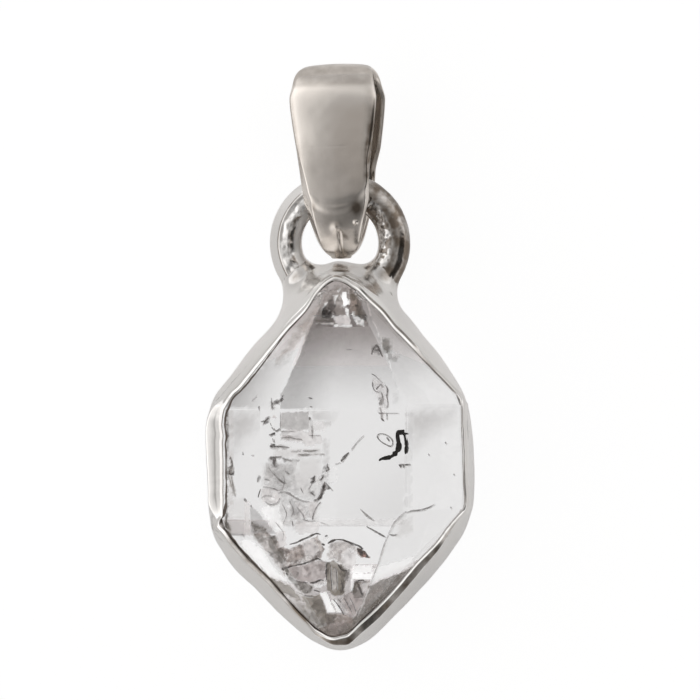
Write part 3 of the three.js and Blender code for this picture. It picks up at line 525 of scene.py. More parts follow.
    (PEARL, 0.8, 0.04, 0.1, 0.1, ((327.5, 590), (331, 591), (336, 596), (333, 598))),
    (PEARL, 0.7, 0.04, 0.1, 0.15, ((340, 599), (343, 601), (349, 611), (346, 612))),
    (CLAY, 0.2, 0.3, 0.15, 0.1, ((398, 520), (412, 514), (412, 530), (400, 536), (394, 534))),
    (TAUPE, 0.72, 0.12, 0.1, 0.25, ((338, 281), (346, 288), (357, 296), (362, 308), (367, 322), (368, 327),
        (316, 327), (318, 310), (325, 294))),
    (CLAY, 0.6, 0.12, 0.06, 0.2, ((350, 291), (357, 297), (362, 310), (365, 317), (354, 316), (349, 306))),
    (UMBER, 0.5, 0.15, 0.06, 0.4, ((350, 289), (357, 297), (363, 310), (366, 320), (355, 318), (351, 306))),
    (BLACK, 0.5, 0.08, 0.05, 0.8, ((355, 305), (362, 306), (367, 318), (366, 322), (356, 320))),
    (UMBER, 0.6, 0.1, 0.07, 0.3, ((345, 287), (353, 290), (359, 298), (361, 307), (354, 307), (351, 298))),
    (WHITE, 0.6, 0.14, 0.05, 0.4, ((334, 296), (342, 293), (347, 298), (347, 307), (340, 308), (334, 304))),
    (UMBER, 0.5, 0.06, 0.05, 0.5, ((315, 319), (332, 319), (332, 325), (315, 325))),
    (BLACK, 0.62, 0.05, 0.05, 0.6, ((321, 309), (326, 305), (329, 311), (333, 310), (331, 317),
        (322, 319))),
    (SMOKE_AND_SHADE, 0.7, 0.06, 0.05, 0.5, ((328, 300), (333, 299), (336, 306), (334, 312), (327, 309))),
    (PEARL, 0.8, 0.05, 0.05, 0.3, ((333, 317), (345, 315), (352, 320), (351, 326), (335, 325))),
    (WHITE, 1, 0.04, 0.04, 0.4, ((343, 292), (346, 293), (347, 298), (351, 300), (350, 305), (344, 306),
        (342, 300))),
    (WHITE, 0.8, 0.04, 0.04, 0.4, ((345, 308), (348, 309), (349, 317), (346, 317))),
    (WHITE, 0.95, 0.04, 0.04, 0.3, ((333, 325), (352, 324.5), (352, 327.5), (334, 327.5))),
    (WHITE, 0.8, 0.05, 0.04, 0.5, ((353, 315), (360, 317), (364, 320), (364, 327), (357, 324), (353, 319))),
    (SMOKE_AND_SHADE, 0.75, 0.05, 0.04, 0.4, ((361, 311), (366, 314), (367, 320), (361, 317))),
    (WHITE, 0.6, 0.06, 0.05, 0.4, ((324, 303), (328, 302), (328, 307), (323, 308))),
    (SMOKE_AND_SHADE, 0.6, 0.05, 0.04, 0.3, ((315, 321), (334, 320.5), (334, 322.5), (315, 323))),
    (SMOKE_AND_SHADE, 0.6, 0.05, 0.04, 0.3, ((314.5, 325), (325, 324.5), (324, 328), (314, 328.5))),
    (PEARL, 0.7, 0.05, 0.04, 0.3, ((316, 323), (334, 322.8), (334, 325), (326, 325), (316, 325))),
)
# Each crack is a colour, strength, softness, depth, size of its facets, roughness and outline.
CRACKS = (
    (WHITE, 0.8, 0.12, 0.12, 0.1, 0.07, ((338, 286), (346, 290), (354, 298), (360, 310), (362, 322),
        (320, 322), (322, 306), (329, 294))),
    (PEARL, 0.6, 0.12, 0.22, 0.1, 0.05, ((256, 533), (276, 534), (286, 547), (300, 542), (318, 535),
        (322, 555), (304, 560), (288, 564), (284, 572), (270, 555))),
    (PEARL, 0.45, 0.15, 0.2, 0.12, 0.05, ((330, 540), (345, 540), (358, 548), (350, 560), (336, 560),
        (330, 552))),
    (PEARL, 0.3, 0.15, 0.2, 0.09, 0.05, ((264, 464), (284, 462), (296, 474), (300, 492), (286, 496),
        (266, 500))),
    (PEARL, 0.45, 0.15, 0.16, 0.09, 0.05, ((290, 497), (304, 500), (318, 502), (316, 516), (296, 518),
        (290, 510))),
    (PEARL, 0.45, 0.12, 0.16, 0.1, 0.05, ((310, 482), (322, 476), (330, 468), (328, 486), (320, 496),
        (311, 492))),
    (PEARL, 0.4, 0.12, 0.18, 0.1, 0.05, ((343, 594), (352, 592), (361, 598), (354, 614), (346, 612))),
    (PEARL, 0.4, 0.12, 0.18, 0.1, 0.05, ((327, 616), (345, 614), (350, 624), (338, 633), (326, 629))),
    (PEARL, 0.35, 0.12, 0.16, 0.1, 0.05, ((372, 376), (380, 380), (387, 392), (386, 412), (379, 408),
        (375, 392))),
)


def lumps(points, size, seed):
    """Smooth seeded noise from -1 to 1: random values on the corners of a lattice of cells of the
    given size, blended inside each cell by 3t^2 - 2t^3 along every axis."""
    table = np.random.default_rng(seed).uniform(-1, 1, (16, 16, 16))
    place = np.asarray(points, float) / size + 100
    cell = np.floor(place).astype(int)
    t = place - cell
    t = t * t * (3 - 2 * t)
    total = 0
    for i in (0, 1):
        for j in (0, 1):
            for k in (0, 1):
                corner = table[(cell[..., 0] + i) % 16, (cell[..., 1] + j) % 16, (cell[..., 2] + k) % 16]
                weight = [t[..., a] if on else 1 - t[..., a] for a, on in enumerate((i, j, k))]
                total = total + corner * weight[0] * weight[1] * weight[2]
    return total


def smoothstep(low, high, x):
    """0 at low, 1 at high, and 3t^2 - 2t^3 between."""
    t = np.clip((x - low) / (high - low), 0, 1)
    return t * t * (3 - 2 * t)


def facet_planes(mesh):
    """A crystal's natural faces: unit normals and distances in millimetres of every flat face of its
    mesh that has no vertex in front of it."""
    corners = np.array([v.co for v in mesh.vertices]) / MM
    normals = np.array([p.normal for p in mesh.polygons])
    distances = (normals * np.array([p.center for p in mesh.polygons]) / MM).sum(1)
    supporting = (corners @ normals.T).max(0) < distances + 0.01
    rows = np.unique(np.round(np.c_[normals, distances][supporting], 3), axis=0)
    return rows[:, :3], rows[:, 3]


face_normals, face_distances = facet_planes(crystal.data)


def front_height(x, y):
    """Height of the crystal's front surface: the least over its upward faces of the height of their
    planes at x, y."""
    up = face_normals[:, 2] > 0.1
    n, d = face_normals[up], face_distances[up]
    return ((d - x[..., None] * n[:, 0] - y[..., None] * n[:, 1]) / n[:, 2]).min(-1)


def grid_place(places):
    """Places on the drawing grid as x and y in millimetres, to a hundredth: the columns right of its
    middle and the rows above it, each times a square's width."""
    return np.round((np.array(places, float) - GRID_MIDDLE) * (GRID_SQUARE, -GRID_SQUARE), 2)


def thread_tube(places, widths, shift, depth, seed):
    """A thin tube along a Catmull-Rom curve through the places, with their half widths or an even run
    from the first width to the last, shifted across, below the front face by depth, flattened to 0.7
    of its width and lumpy by a third of its radius, with closed ends. A second result is its noise for
    each ring."""
    if len(widths) != len(places):
        widths = np.linspace(widths[0], widths[-1], len(places))
    p = np.c_[grid_place(places), np.round(np.array(widths) * GRID_SQUARE, 3)] + (*shift, 0)
    p = np.vstack([2 * p[0] - p[1], p, 2 * p[-1] - p[-2]])
    t = np.linspace(0, 1, SPAN_STEPS, endpoint=False)[None, :, None]
    a, b, c, d = (p[i : len(p) - 3 + i, None] for i in range(4))
    line = 0.5 * (2 * b + (c - a) * t + (2 * a - 5 * b + 4 * c - d) * t**2 + (3 * b - a - 3 * c + d) * t**3)
    line = np.vstack([line.reshape(-1, 3), p[-2:-1]])
    along = np.gradient(line[:, :2], axis=0)
    along /= np.linalg.norm(along, axis=1)[:, None]
    turn = np.linspace(0, 2 * math.pi, THREAD_SIDES, endpoint=False)
    centre = np.c_[line[:, :2], front_height(line[:, 0], line[:, 1]) - depth]
    radius = np.maximum(line[:, 2:], THINNEST) * (1 + 0.35 * lumps(centre, 0.09, seed))[:, None]
    radius[[0, -1]] *= 0.3
    side = np.c_[-along[:, 1], along[:, 0]]
    x = centre[:, :1] + side[:, :1] * radius * np.cos(turn)
    y = centre[:, 1:2] + side[:, 1:] * radius * np.cos(turn)
    z = centre[:, 2:] - radius * FLATTENED + FLATTENED * radius * np.sin(turn)
    return np.stack([x, y, z], -1), np.repeat(lumps(centre, 0.11, seed + 500), THREAD_SIDES)


def tube_faces(rows, start):
    """Quads round a tube of rows rings whose first vertex is start, and a polygon on each end."""
    index = start + np.arange(rows * THREAD_SIDES).reshape(rows, THREAD_SIDES)
    ring = np.hstack([index, index[:, :1]])
    quads = np.stack([ring[:-1, :-1], ring[:-1, 1:], ring[1:, 1:], ring[1:, :-1]], -1).reshape(-1, 4)
    return quads.tolist() + [index[0, ::-1].tolist(), index[-1].tolist()]


def inside_distance(outline, x, y):
    """Distance from x, y to a closed outline, positive inside it: the least distance to any side, with
    the sign from how many sides a line to the right crosses."""
    a = np.array(outline, float)
    b = np.roll(a, -1, 0)
    px, py = x[..., None], y[..., None]
    ex, ey = (b - a).T
    t = np.clip(((px - a[:, 0]) * ex + (py - a[:, 1]) * ey) / (ex**2 + ey**2), 0, 1)
    away = np.hypot(px - a[:, 0] - t * ex, py - a[:, 1] - t * ey).min(-1)
    spans = (a[:, 1] > py) != (b[:, 1] > py)
    slope = np.where(ey == 0, 1, ey)
    crossed = spans & (px < a[:, 0] + (py - a[:, 1]) * ex / slope)
    return np.where(crossed.sum(-1) % 2 == 1, away, -away)


def sheet_grid(outline, step):
    """Even x, y places over an outline's box, with quads that join them."""
    low, high = np.min(outline, 0) - 0.02, np.max(outline, 0) + 0.02
    counts = np.maximum(((high - low) / step).astype(int), 4)
    x, y = np.meshgrid(np.linspace(low[0], high[0], counts[0]), np.linspace(low[1], high[1], counts[1]))
    index = np.arange(x.size).reshape(x.shape)
    quads = np.stack([index[:-1, :-1], index[:-1, 1:], index[1:, 1:], index[1:, :-1]], -1).reshape(-1, 4)
    return x, y, quads


def film_sheet(seed, tone, strength, softness, depth, grain, outline, fade=None):
    """A wrinkled sheet over the outline's box, below the front face by depth. Its strength grows from
    nothing at the outline over the softness and along the fade's line from its first point to its
    second, and both strength and colour are mottled by noise times the grain."""
    outline = grid_place(outline)
    x, y, quads = sheet_grid(outline, min(max(softness * 0.5, 0.045), 0.1))
    place = np.stack([x, y, 0 * x], -1)
    z = front_height(x, y) - np.maximum(depth - 0.05 * lumps(place, 0.5, seed), SHALLOWEST)
    wander = 0.9 * min(softness, 0.12) * (lumps(place, 0.2, seed + 1) + 0.6 * lumps(place, 0.09, seed + 4))
    cover = smoothstep(-0.35 * softness, 0.65 * softness, inside_distance(outline, x, y) + wander)
    if fade:
        start, end = grid_place(fade)
        way = end - start
        cover = cover * smoothstep(0, 1, ((x - start[0]) * way[0] + (y - start[1]) * way[1]) / (way @ way))
    fine = lumps(place, 0.13, seed + 3) + 0.7 * lumps(place, 0.07, seed + 5)
    mottle = 1 - 0.3 * grain + grain * (0.5 * lumps(place, 0.4, seed + 2) + 0.8 * fine)
    colour = np.array(tone) * (1 - grain * 1.2 * fine[..., None]).clip(0.3, 1.8)
    points = np.stack([x, y, z], -1).reshape(-1, 3)
    return points, quads, colour.reshape(-1, 3).clip(0, 1), (strength * cover * mottle).ravel()


def back_shading_sheet():
    """A sheet of painted light and shade just inside the crystal's upper back faces: u of the way from its
    middle line to its sides, which run straight to the tip. Its colour goes smoothly from near white to
    grey along y, painted shade that darkens the crystal towards its top."""
    along, across = np.linspace(*SKIN_SPAN, SKIN_STEPS), np.linspace(-1, 1, SKIN_STEPS)
    y, u = np.meshgrid(along, across, indexing="ij")
    rest = (SKIN_TIP[1] - y) / (SKIN_TIP[1] - SKIN_FOOT_Y)
    x = SKIN_TIP[0] + SKIN_WIDTH * rest * np.where(u < 0, SKIN_LEFT * u, SKIN_RIGHT * u)
    down = face_normals[:, 2] < -0.1
    n, d = face_normals[down], face_distances[down]
    z = ((d - x[..., None] * n[:, 0] - y[..., None] * n[:, 1]) / n[:, 2]).max(-1) + SKIN_GAP
    index = np.arange(x.size).reshape(x.shape)
    quads = np.stack([index[:-1, :-1], index[:-1, 1:], index[1:, 1:], index[1:, :-1]], -1).reshape(-1, 4)
    share = smoothstep(*SKIN_FADE, y)[..., None]
    colour = np.array(SKIN_NEAR) * (1 - share) + np.array(SKIN_FAR) * share
    return np.stack([x, y, z], -1).reshape(-1, 3), quads, colour.reshape(-1, 3), np.full(x.size, SKIN_COVER)


def crumpled_sheet(seed, tone, strength, softness, depth, cell, rough, outline):
    """Flat facets at odd angles over the outline's box, below the front face by depth: a grid of cells
    whose corners move by up to 0.4 of a cell across and by rough up and down."""
    outline = grid_place(outline)
    x, y, quads = sheet_grid(outline, cell)
    chance = np.random.default_rng(seed)
    x = x + chance.uniform(-0.4, 0.4, x.shape) * cell
    y = y + chance.uniform(-0.4, 0.4, x.shape) * cell
    z = front_height(x, y) - np.maximum(depth - chance.uniform(-1, 1, x.shape) * rough, SHALLOWEST)
    cover = smoothstep(-0.3 * softness, 0.7 * softness, inside_distance(outline, x, y))
    triangles = np.vstack([quads[:, [0, 1, 2]], quads[:, [0, 2, 3]]])
    colour = np.tile(tone, (x.size, 1))
    strengths = strength * cover * chance.uniform(0.4, 1.0, x.shape)
    return np.stack([x, y, z], -1).reshape(-1, 3), triangles, colour, strengths.ravel()


def inclusion_piece(name, points, faces, tones, strengths, smooth):
    """A mesh in millimetres with a colour and a strength for each point, as attributes."""
    mesh = bpy.data.meshes.new(name)
    mesh.from_pydata((points * MM).tolist(), [], faces)
    mesh.polygons.foreach_set("use_smooth", np.full(len(faces), smooth))
    tone = mesh.attributes.new("tone", "FLOAT_COLOR", "POINT")
    tone.data.foreach_set("color", np.c_[tones, np.ones(len(points))].astype(np.float32).ravel())
    veil = mesh.attributes.new("veil", "FLOAT", "POINT")
    veil.data.foreach_set("value", np.clip(strengths, 0, 1).astype(np.float32))
    piece = bpy.data.objects.new(name, mesh)
    bpy.context.scene.collection.objects.link(piece)
    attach(piece, "setting")
    return piece


def sheets_piece(name, sheets, smooth):
    """One inclusion piece of several sheets of points, faces, colours and strengths, of which only the
    faces that cover something and lie behind all the crystal's faces are kept."""
    starts = np.cumsum([0] + [len(sheet[0]) for sheet in sheets])
    faces = np.vstack([sheet[1] + start for sheet, start in zip(sheets, starts)])
    points, colours, strengths = (np.concatenate([sheet[i] for sheet in sheets]) for i in (0, 2, 3))
    buried = (points @ face_normals.T - face_distances).max(1) < -BURIED_BY
    faces = faces[buried[faces].all(1) & (strengths[faces] > 0).any(1)]
    used, renumbered = np.unique(faces, return_inverse=True)
    faces = renumbered.reshape(faces.shape).tolist()
    return inclusion_piece(name, points[used], faces, colours[used], strengths[used], smooth)


def inclusion_material(name, roughness, metallic, backlight):
    """Mineral matter inside the crystal: its colour and how much it covers are the piece's own
    attributes, with a fine grain as bump. Light from behind it is a part of its colour as glow."""
    material, nodes, links, shader = new_material(name)
    tone = nodes.new("ShaderNodeAttribute")
    tone.attribute_name = "tone"
    veil = nodes.new("ShaderNodeAttribute")
    veil.attribute_name = "veil"
    links.new(tone.outputs["Color"], shader.inputs["Base Color"])
    links.new(tone.outputs["Color"], shader.inputs["Emission Color"])
    links.new(veil.outputs["Fac"], shader.inputs["Alpha"])
    shader.inputs["Emission Strength"].default_value = backlight
    shader.inputs["Roughness"].default_value = roughness
    shader.inputs["Metallic"].default_value = metallic
    shader.inputs["Specular IOR Level"].default_value = 0.15
    bump_chain(nodes, links, shader, [(object_noise(nodes, links, 12, detail=4), 0.4, 0.02)])
    return material


strands = [(tone, places, widths, (0, 0), THREAD_DEPTH) for tone, places, widths in THREADS]
# White copies of the grey and pale threads, moved aside, are painted highlights.
glint_paths = [thread[1:] for thread in THREADS if thread[0] in (GREY_THREAD, PALE_THREAD)]
strands += [(GLINT, *edge, GLINT_SHIFT, THREAD_DEPTH + GLINT_BELOW) for edge in glint_paths]
tubes = [thread_tube(*strand[1:], THREAD_SEED + i) for i, strand in enumerate(strands)]
starts = np.cumsum([0] + [noise.size for _, noise in tubes])
threads = inclusion_piece(
    "mineral_threads_and_glints",
    np.vstack([tube.reshape(-1, 3) for tube, _ in tubes]),
    sum((tube_faces(tube.shape[0], int(start)) for (tube, _), start in zip(tubes, starts)), []),
    np.repeat([strand[0][0] for strand in strands], np.diff(starts), axis=0),
    np.concatenate([s[0][1] * (1.15 + 0.7 * noise * (s[0][1] < 1)) for s, (_, noise) in zip(strands, tubes)]),
    True,
)
threads.data.materials.append(inclusion_material("thread_mineral_and_glint", 0.6, 0, 0.1))
sheets = [film_sheet(FILM_SEED + FILM_SEEDS * i, *film) for i, film in enumerate(FILMS)]
films = sheets_piece("healed_films_and_painted_light", sheets, True)
films.data.materials.append(inclusion_material("film_mineral_and_glow", 0.9, 0, BACKLIGHT))
skin = sheets_piece("painted_back_shading", [back_shading_sheet()], True)
skin.data.materials.append(inclusion_material("back_shading_glow", 0.9, 0, SKIN_BACKLIGHT))
sheets = [crumpled_sheet(CRACK_SEED + i, *crack) for i, crack in enumerate(CRACKS)]
cracks = sheets_piece("open_cracks", sheets, False)
cracks.data.materials.append(inclusion_material("crack_mirror", 0.12, 1, 0))

# ---------------------------------------------------------------------------------------------------
# Silver bezel. A strip of sheet silver bent round the crystal, wider at its open back, its thin upper
# edge pressed down over the crystal to a burnished lip. It swells to two shoulders where the ring is
# soldered on.
# ---------------------------------------------------------------------------------------------------
# Where the wall stands at the open back, as (x, y) from the right of the neck round to the left.
BASE_LINE = (
    (1.22, 9.26), (1.9, 8.95), (2.45, 8.45), (2.72, 7.87), (2.98, 7.3), (3.46, 6.72), (4.13, 5.86),
    (4.85, 4.99), (5.62, 3.84), (6.05, 2.98), (6.34, 1.82), (6.5, -0.19), (6.48, -1.92), (6.29, -2.78),
    (5.95, -3.65), (5.38, -4.51), (4.7, -5.38), (3.94, -6.24), (2.83, -7.39), (1.97, -8.26),
    (1.3, -8.83), (0.43, -9.2), (-0.38, -9.2), (-1.25, -8.83), (-2.06, -8.26), (-3.02, -7.39),
    (-4.13, -6.24), (-5.04, -5.38), (-5.66, -4.51), (-6.14, -3.65), (-6.34, -2.5), (-6.36, -1.2),
    (-6.46, 0.96), (-6.42, 1.82), (-6.1, 2.98), (-5.23, 4.13), (-4.37, 5.28), (-3.6, 6.14),
    (-3.12, 6.72), (-2.85, 7.3), (-2.7, 7.87), (-2.42, 8.45), (-1.9, 8.93), (-1.2, 9.22),
    (-0.89, 9.34), (-0.19, 9.58), (0.56, 9.5),
)
# The lip's middle line, as places on the drawing grid from the top round to the right.
LIP_LINE = grid_place((
    (336, 278.3), (345, 281.5), (352, 286), (359, 290.5), (369, 300.3), (382, 312.4), (394, 327),
    (408, 341.5), (435, 370), (452, 388), (461, 397.5), (462.5, 408), (463, 425), (464, 445), (465, 480),
    (466, 500), (464.8, 509), (462, 512.5), (456.7, 518.3), (446.6, 529.5), (435.4, 544), (427.8, 552),
    (416.7, 564.4), (401, 583), (386.7, 599), (372.8, 612.7), (359.8, 624.4), (351, 632.7), (347, 635.7),
    (341, 637.3), (333.7, 638.7), (327, 637.3), (319, 633), (313.7, 629.7), (307, 622.7), (294.3, 609.7),
    (281, 594.7), (267.3, 579.6), (249.3, 562.3), (235.5, 546.4), (225.1, 533.2), (218.9, 527),
    (218, 523.5), (218.9, 520), (221.3, 516.6), (221.6, 507), (221.3, 454), (220.8, 442.7), (221.6, 435.2),
    (220.5, 425.4), (221, 417.3), (222.5, 409.8), (224.5, 405.2), (227.7, 398.8), (232.3, 392.5),
    (239.2, 386.2), (256, 365.6), (272.8, 345), (288.7, 325.5), (305.5, 308.7), (314.8, 294.7),
    (322.3, 286.3), (329.7, 280.7),
))
# The worn ridge of solder that arches over the lip's top, as (x, y), and the brown and the bare spot on
# it, as x, y and radii.
ARCH_LINE = ((-1.25, 8.78), (-0.67, 9.02), (0.24, 9.02), (0.9, 8.75), (1.54, 8.45), (1.78, 7.7))
ARCH_Z, ARCH_RISE = 4.0, 0.05
ARCH_SPOT, BARE_SPOT = (0.02, 9.08, (0.36, 0.06)), (-0.19, 8.965, (0.3, 0.075))
BASE_Z, LIP_LOW = 1.42, 4.95
LIP_TO_SHOULDER = 0.33
LIP_ABOVE, LIP_INSIDE = 0.04, 0.1
LIP_FOOT = 0.088
WALL = 0.42
SEAT_GAP, WALL_GAP, RIM_GAP = 0.015, 0.02, 0.045
LEAST_WALL = 0.12
INNER_Z = 4.4
HAMMER_DENTS = ((0.012, 0.8, 11), (0.006, 0.35, 12))
# What changes round the bezel, each as amounts with the degrees where they start, are full, are still
# full and end: the lip's line moved out, the groove's width past its least, how grooved the rim is, how
# dark the groove is, with dirt and painted shade that is strongest on the right, how dull the lip is,
# where it slopes inwards and where its crest is low.
LEFT_SIDE = (150, 164, 196, 209)
LIP_MOVED = ((-0.035, 98, 106, 150, 158), (0.045, -54, -46, -36, -28), (0.03, 80, 86, 94, 98))
GROOVE_LEAST, GROOVE_LEFT = 0.125, 0.2
GROOVE_WIDER = ((0.255, -100, -85, -60, -24), (0.06, 50, 60, 82, 92), (0.06, -94, -87, -78, -70))
GROOVED = ((1, -102, -95, -60, -24), (1, 50, 60, 82, 92), (0.5, -152, -145, -112, -90))
GROOVE_DIRT_AND_SHADE_LEAST = 0.15
GROOVE_DIRT_AND_SHADE = (
    (0.55, 50, 60, 82, 92), (0.12, 95, 100, 150, 158), (0.35, -152, -145, -112, -100),
    (0.1, -108, -98, -88, -80), (0.68, -102, -95, -40, -22),
)
DULL_LEFT = 0.25
DULL = (
    (0.5, 26, 36, 52, 60), (0.3, -22, -17, -6, 2), (0.75, -150, -142, -104, -97),
    (0.25, -110, -106, -99, -95),
)
INWARD = ((0.55, -26, -18, 44, 54), (0.45, -8, -2, 16, 26))
LOW_CREST = ((0.55, 72, 80, 100, 108),)
RIDGE = ((0.035, 60, 72, 108, 120),)
# The lip's section as distances out from its line and down from its top, its painted shade, which darkens
# its inner edge beside the gap to the crystal, and its distances down on the right, where it slopes
# inwards.
LIP_SECTION = (
    (0.04, 0.078, 0, 0.05), (0.02, 0.062, 0, 0.02), (-0.01, 0.038, 0, 0.004), (-0.04, 0.014, 0, 0.014),
    (-0.075, 0, 0, 0.03), (-0.1, 0.01, 0.2, 0.045), (-0.11, 0.06, 0.6, 0.06),
)
AROUND, WALL_ROWS, RIM_ROWS, GROOVE_ROWS, INNER_ROWS = 1080, 40, 12, 9, 12


def crystal_radius(angle, z):
    """How far out the crystal reaches at height z: the least distance along the direction angle to
    any of its face planes."""
    along = np.cos(angle)[..., None] * face_normals[:, 0] + np.sin(angle)[..., None] * face_normals[:, 1]
    room = face_distances - np.asarray(z)[..., None] * face_normals[:, 2]
    return np.where(along > 1e-3, room / np.maximum(along, 1e-3), 1e3).min(-1)


def line_radius(points, angle):
    """A closed line through points in polar form: Catmull-Rom spans between the points, twelve steps
    each, read at the wanted angles."""
    p = np.array(points, float)
    t = np.linspace(0, 1, 12, endpoint=False)[None, :, None]
    a, b, c, d = (np.roll(p, n, 0)[:, None] for n in (1, 0, -1, -2))
    line = 0.5 * (2 * b + (c - a) * t + (2 * a - 5 * b + 4 * c - d) * t**2 + (3 * b - a - 3 * c + d) * t**3)
    line = line.reshape(-1, 2)
    turn = np.arctan2(line[:, 1], line[:, 0])
    order = np.argsort(turn)
    return np.interp(angle, turn[order], np.hypot(line[:, 0], line[:, 1])[order], period=2 * math.pi)


def shell(name, points, tarnish_and_shade=None, frost=None, close_rows=True):
    """A closed smooth mesh from a rows x columns x 3 array of points in millimetres, its quads joined
    round both ways, turned to face outwards, with each point's darkening by stains and painted shade, and
    its frost, as attributes."""
    rows, columns, _ = points.shape
    index = np.arange(rows * columns).reshape(rows, columns)
    index = np.hstack([index, index[:, :1]])
    if close_rows:
        index = np.vstack([index, index[:1]])
    quads = np.stack([index[:-1, :-1], index[1:, :-1], index[1:, 1:], index[:-1, 1:]], -1).reshape(-1, 4)
    flat = points.reshape(-1, 3) * MM
    middle = flat[quads]
    cross = np.cross(middle[:, 2] - middle[:, 0], middle[:, 3] - middle[:, 1])
    if (cross * middle.mean(1)).sum() < 0:
        quads = quads[:, ::-1]
    mesh = bpy.data.meshes.new(name)
    mesh.vertices.add(len(flat))
    mesh.vertices.foreach_set("co", flat.astype(np.float32).ravel())
    mesh.loops.add(quads.size)
    mesh.loops.foreach_set("vertex_index", quads.ravel().astype(np.int32))
    mesh.polygons.add(len(quads))
    mesh.polygons.foreach_set("loop_start", np.arange(0, quads.size, 4, dtype=np.int32))
    mesh.polygons.foreach_set("use_smooth", np.ones(len(quads), bool))
    mesh.update(calc_edges=True)
    for kind, values in (("tarnish_and_shade", tarnish_and_shade), ("frost", frost)):
        values = np.zeros(len(flat)) if values is None else values.ravel()
        mesh.attributes.new(kind, "FLOAT", "POINT").data.foreach_set("value", values.astype(np.float32))
    piece = bpy.data.objects.new(name, mesh)
    bpy.context.scene.collection.objects.link(piece)
    return piece


# The ring that is soldered to the bezel, because the shoulders run into it, and the darker spots on
# both where they meet, as x, y, radius and amount.
RING_CENTRE = (0, 10.46, 2.23)
RING_RADIUS = 2.616
WIRE_RADIUS = 0.785
SOLDER_FILLET, SOLDER_STEPS = 1.0, 14
JOINT_DARK_SPOTS = ((-2.1, 8.78, 0.4, 0.65), (2.05, 8.82, 0.35, 0.55), (2.5, 8.95, 0.4, 0.8))


def window(angle, start, full, last, end):
    """0 before start, 1 from full to last and 0 after end, smoothly, in degrees from -180 to 180."""
    turn = np.degrees(np.arctan2(np.sin(angle), np.cos(angle)))
    return smoothstep(start, full, turn) * (1 - smoothstep(last, end, turn))


def windows(angle, table):
    """The sum of a table's amounts, each times its window."""
    return sum(amount * window(angle, *degrees) for amount, *degrees in table)


def left_side(angle):
    """1 along the bezel's left side and 0 elsewhere: the window of LEFT_SIDE, turned by half a turn so
    that it doesn't cross 180 degrees."""
    return window(angle + math.pi, *(degrees - 180 for degrees in LEFT_SIDE))


def groove_out(angle):
    """How far out from the lip's line its groove ends: the least, and more where the tables say."""
    return GROOVE_LEAST + windows(angle, GROOVE_WIDER) + GROOVE_LEFT * left_side(angle)


def lip_height(angle):
    """Height of the lip's top, which is pressed onto the crystal: just above the crystal's front surface
    a little inside the lip's line, no lower than LIP_LOW, smoothed over some degrees."""
    turn = np.radians(np.arange(-180, 180, 1.0))
    radius = line_radius(LIP_LINE, turn) - LIP_INSIDE
    top = np.maximum(front_height(radius * np.cos(turn), radius * np.sin(turn)) + LIP_ABOVE, LIP_LOW)
    top = np.max([np.roll(top, n) for n in (-2, -1, 0, 1, 2)], 0)
    weights = np.hanning(11) / np.hanning(11).sum()
    top = np.convolve(np.r_[top[-5:], top, top[:5]], weights, "valid")
    return np.interp(angle, turn, top, period=2 * math.pi)


def wall_radius(angle, z):
    """The outer wall's radius at height z: from the base line it leans in, by 0.3 s + 0.7 s^2.2 of the
    way at the share s of its height, to just outside the lip's groove, but always outside the crystal.
    On the left it stays nearly upright below a broad rim."""
    share = np.clip((z - BASE_Z) / (lip_height(angle) - LIP_TO_SHOULDER - BASE_Z), 0, 1)
    base = line_radius(BASE_LINE, angle)
    top = line_radius(LIP_LINE, angle) + groove_out(angle) + RIM_GAP
    lean = (0.3 * share + 0.7 * share**2.2) * (1 - 0.97 * left_side(angle))
    return np.maximum(base + (top - base) * lean, crystal_radius(angle, z + 0 * angle) + WALL_GAP)


def soldered(points):
    """Distance to the wall and the ring's wire taken together, negative inside: the smaller of the two
    less h^2 k / 4, where h is how nearly equal they are within the fillet k."""
    x, y, z = points[..., 0], points[..., 1], points[..., 2]
    wall = 0.93 * (np.hypot(x, y) - wall_radius(np.arctan2(y, x), z))
    across = np.hypot(x - RING_CENTRE[0], y - RING_CENTRE[1]) - RING_RADIUS
    wire = np.hypot(across, z - RING_CENTRE[2]) - WIRE_RADIUS
    near = np.maximum(SOLDER_FILLET - np.abs(wall - wire), 0) / SOLDER_FILLET
    return np.minimum(wall, wire) - near**2 * SOLDER_FILLET / 4


def grow_solder(points, direction, reach):
    """Moves points along their direction, no further than reach, out to the soldered surface."""
    moved = np.zeros(points.shape[:2])
    for _ in range(SOLDER_STEPS):
        depth = soldered(points + direction * moved[..., None])
        moved = np.clip(moved - depth, 0, reach)
    return points + direction * moved[..., None]


def round_spot(x, y, radius, points, power=2):
    """1 at x, y and falling away from it by exp(-(dx / rx)^power - (dy / ry)^power), where the radius is
    one number or rx and ry."""
    rx, ry = np.broadcast_to(radius, 2)
    return np.exp(-(((points[..., 0] - x) / rx) ** power) - ((points[..., 1] - y) / ry) ** power)


def joint_dark_spots(points):
    """Darker spots round the two soldered joints."""
    return sum(amount * round_spot(x, y, radius, points) for x, y, radius, amount in JOINT_DARK_SPOTS)


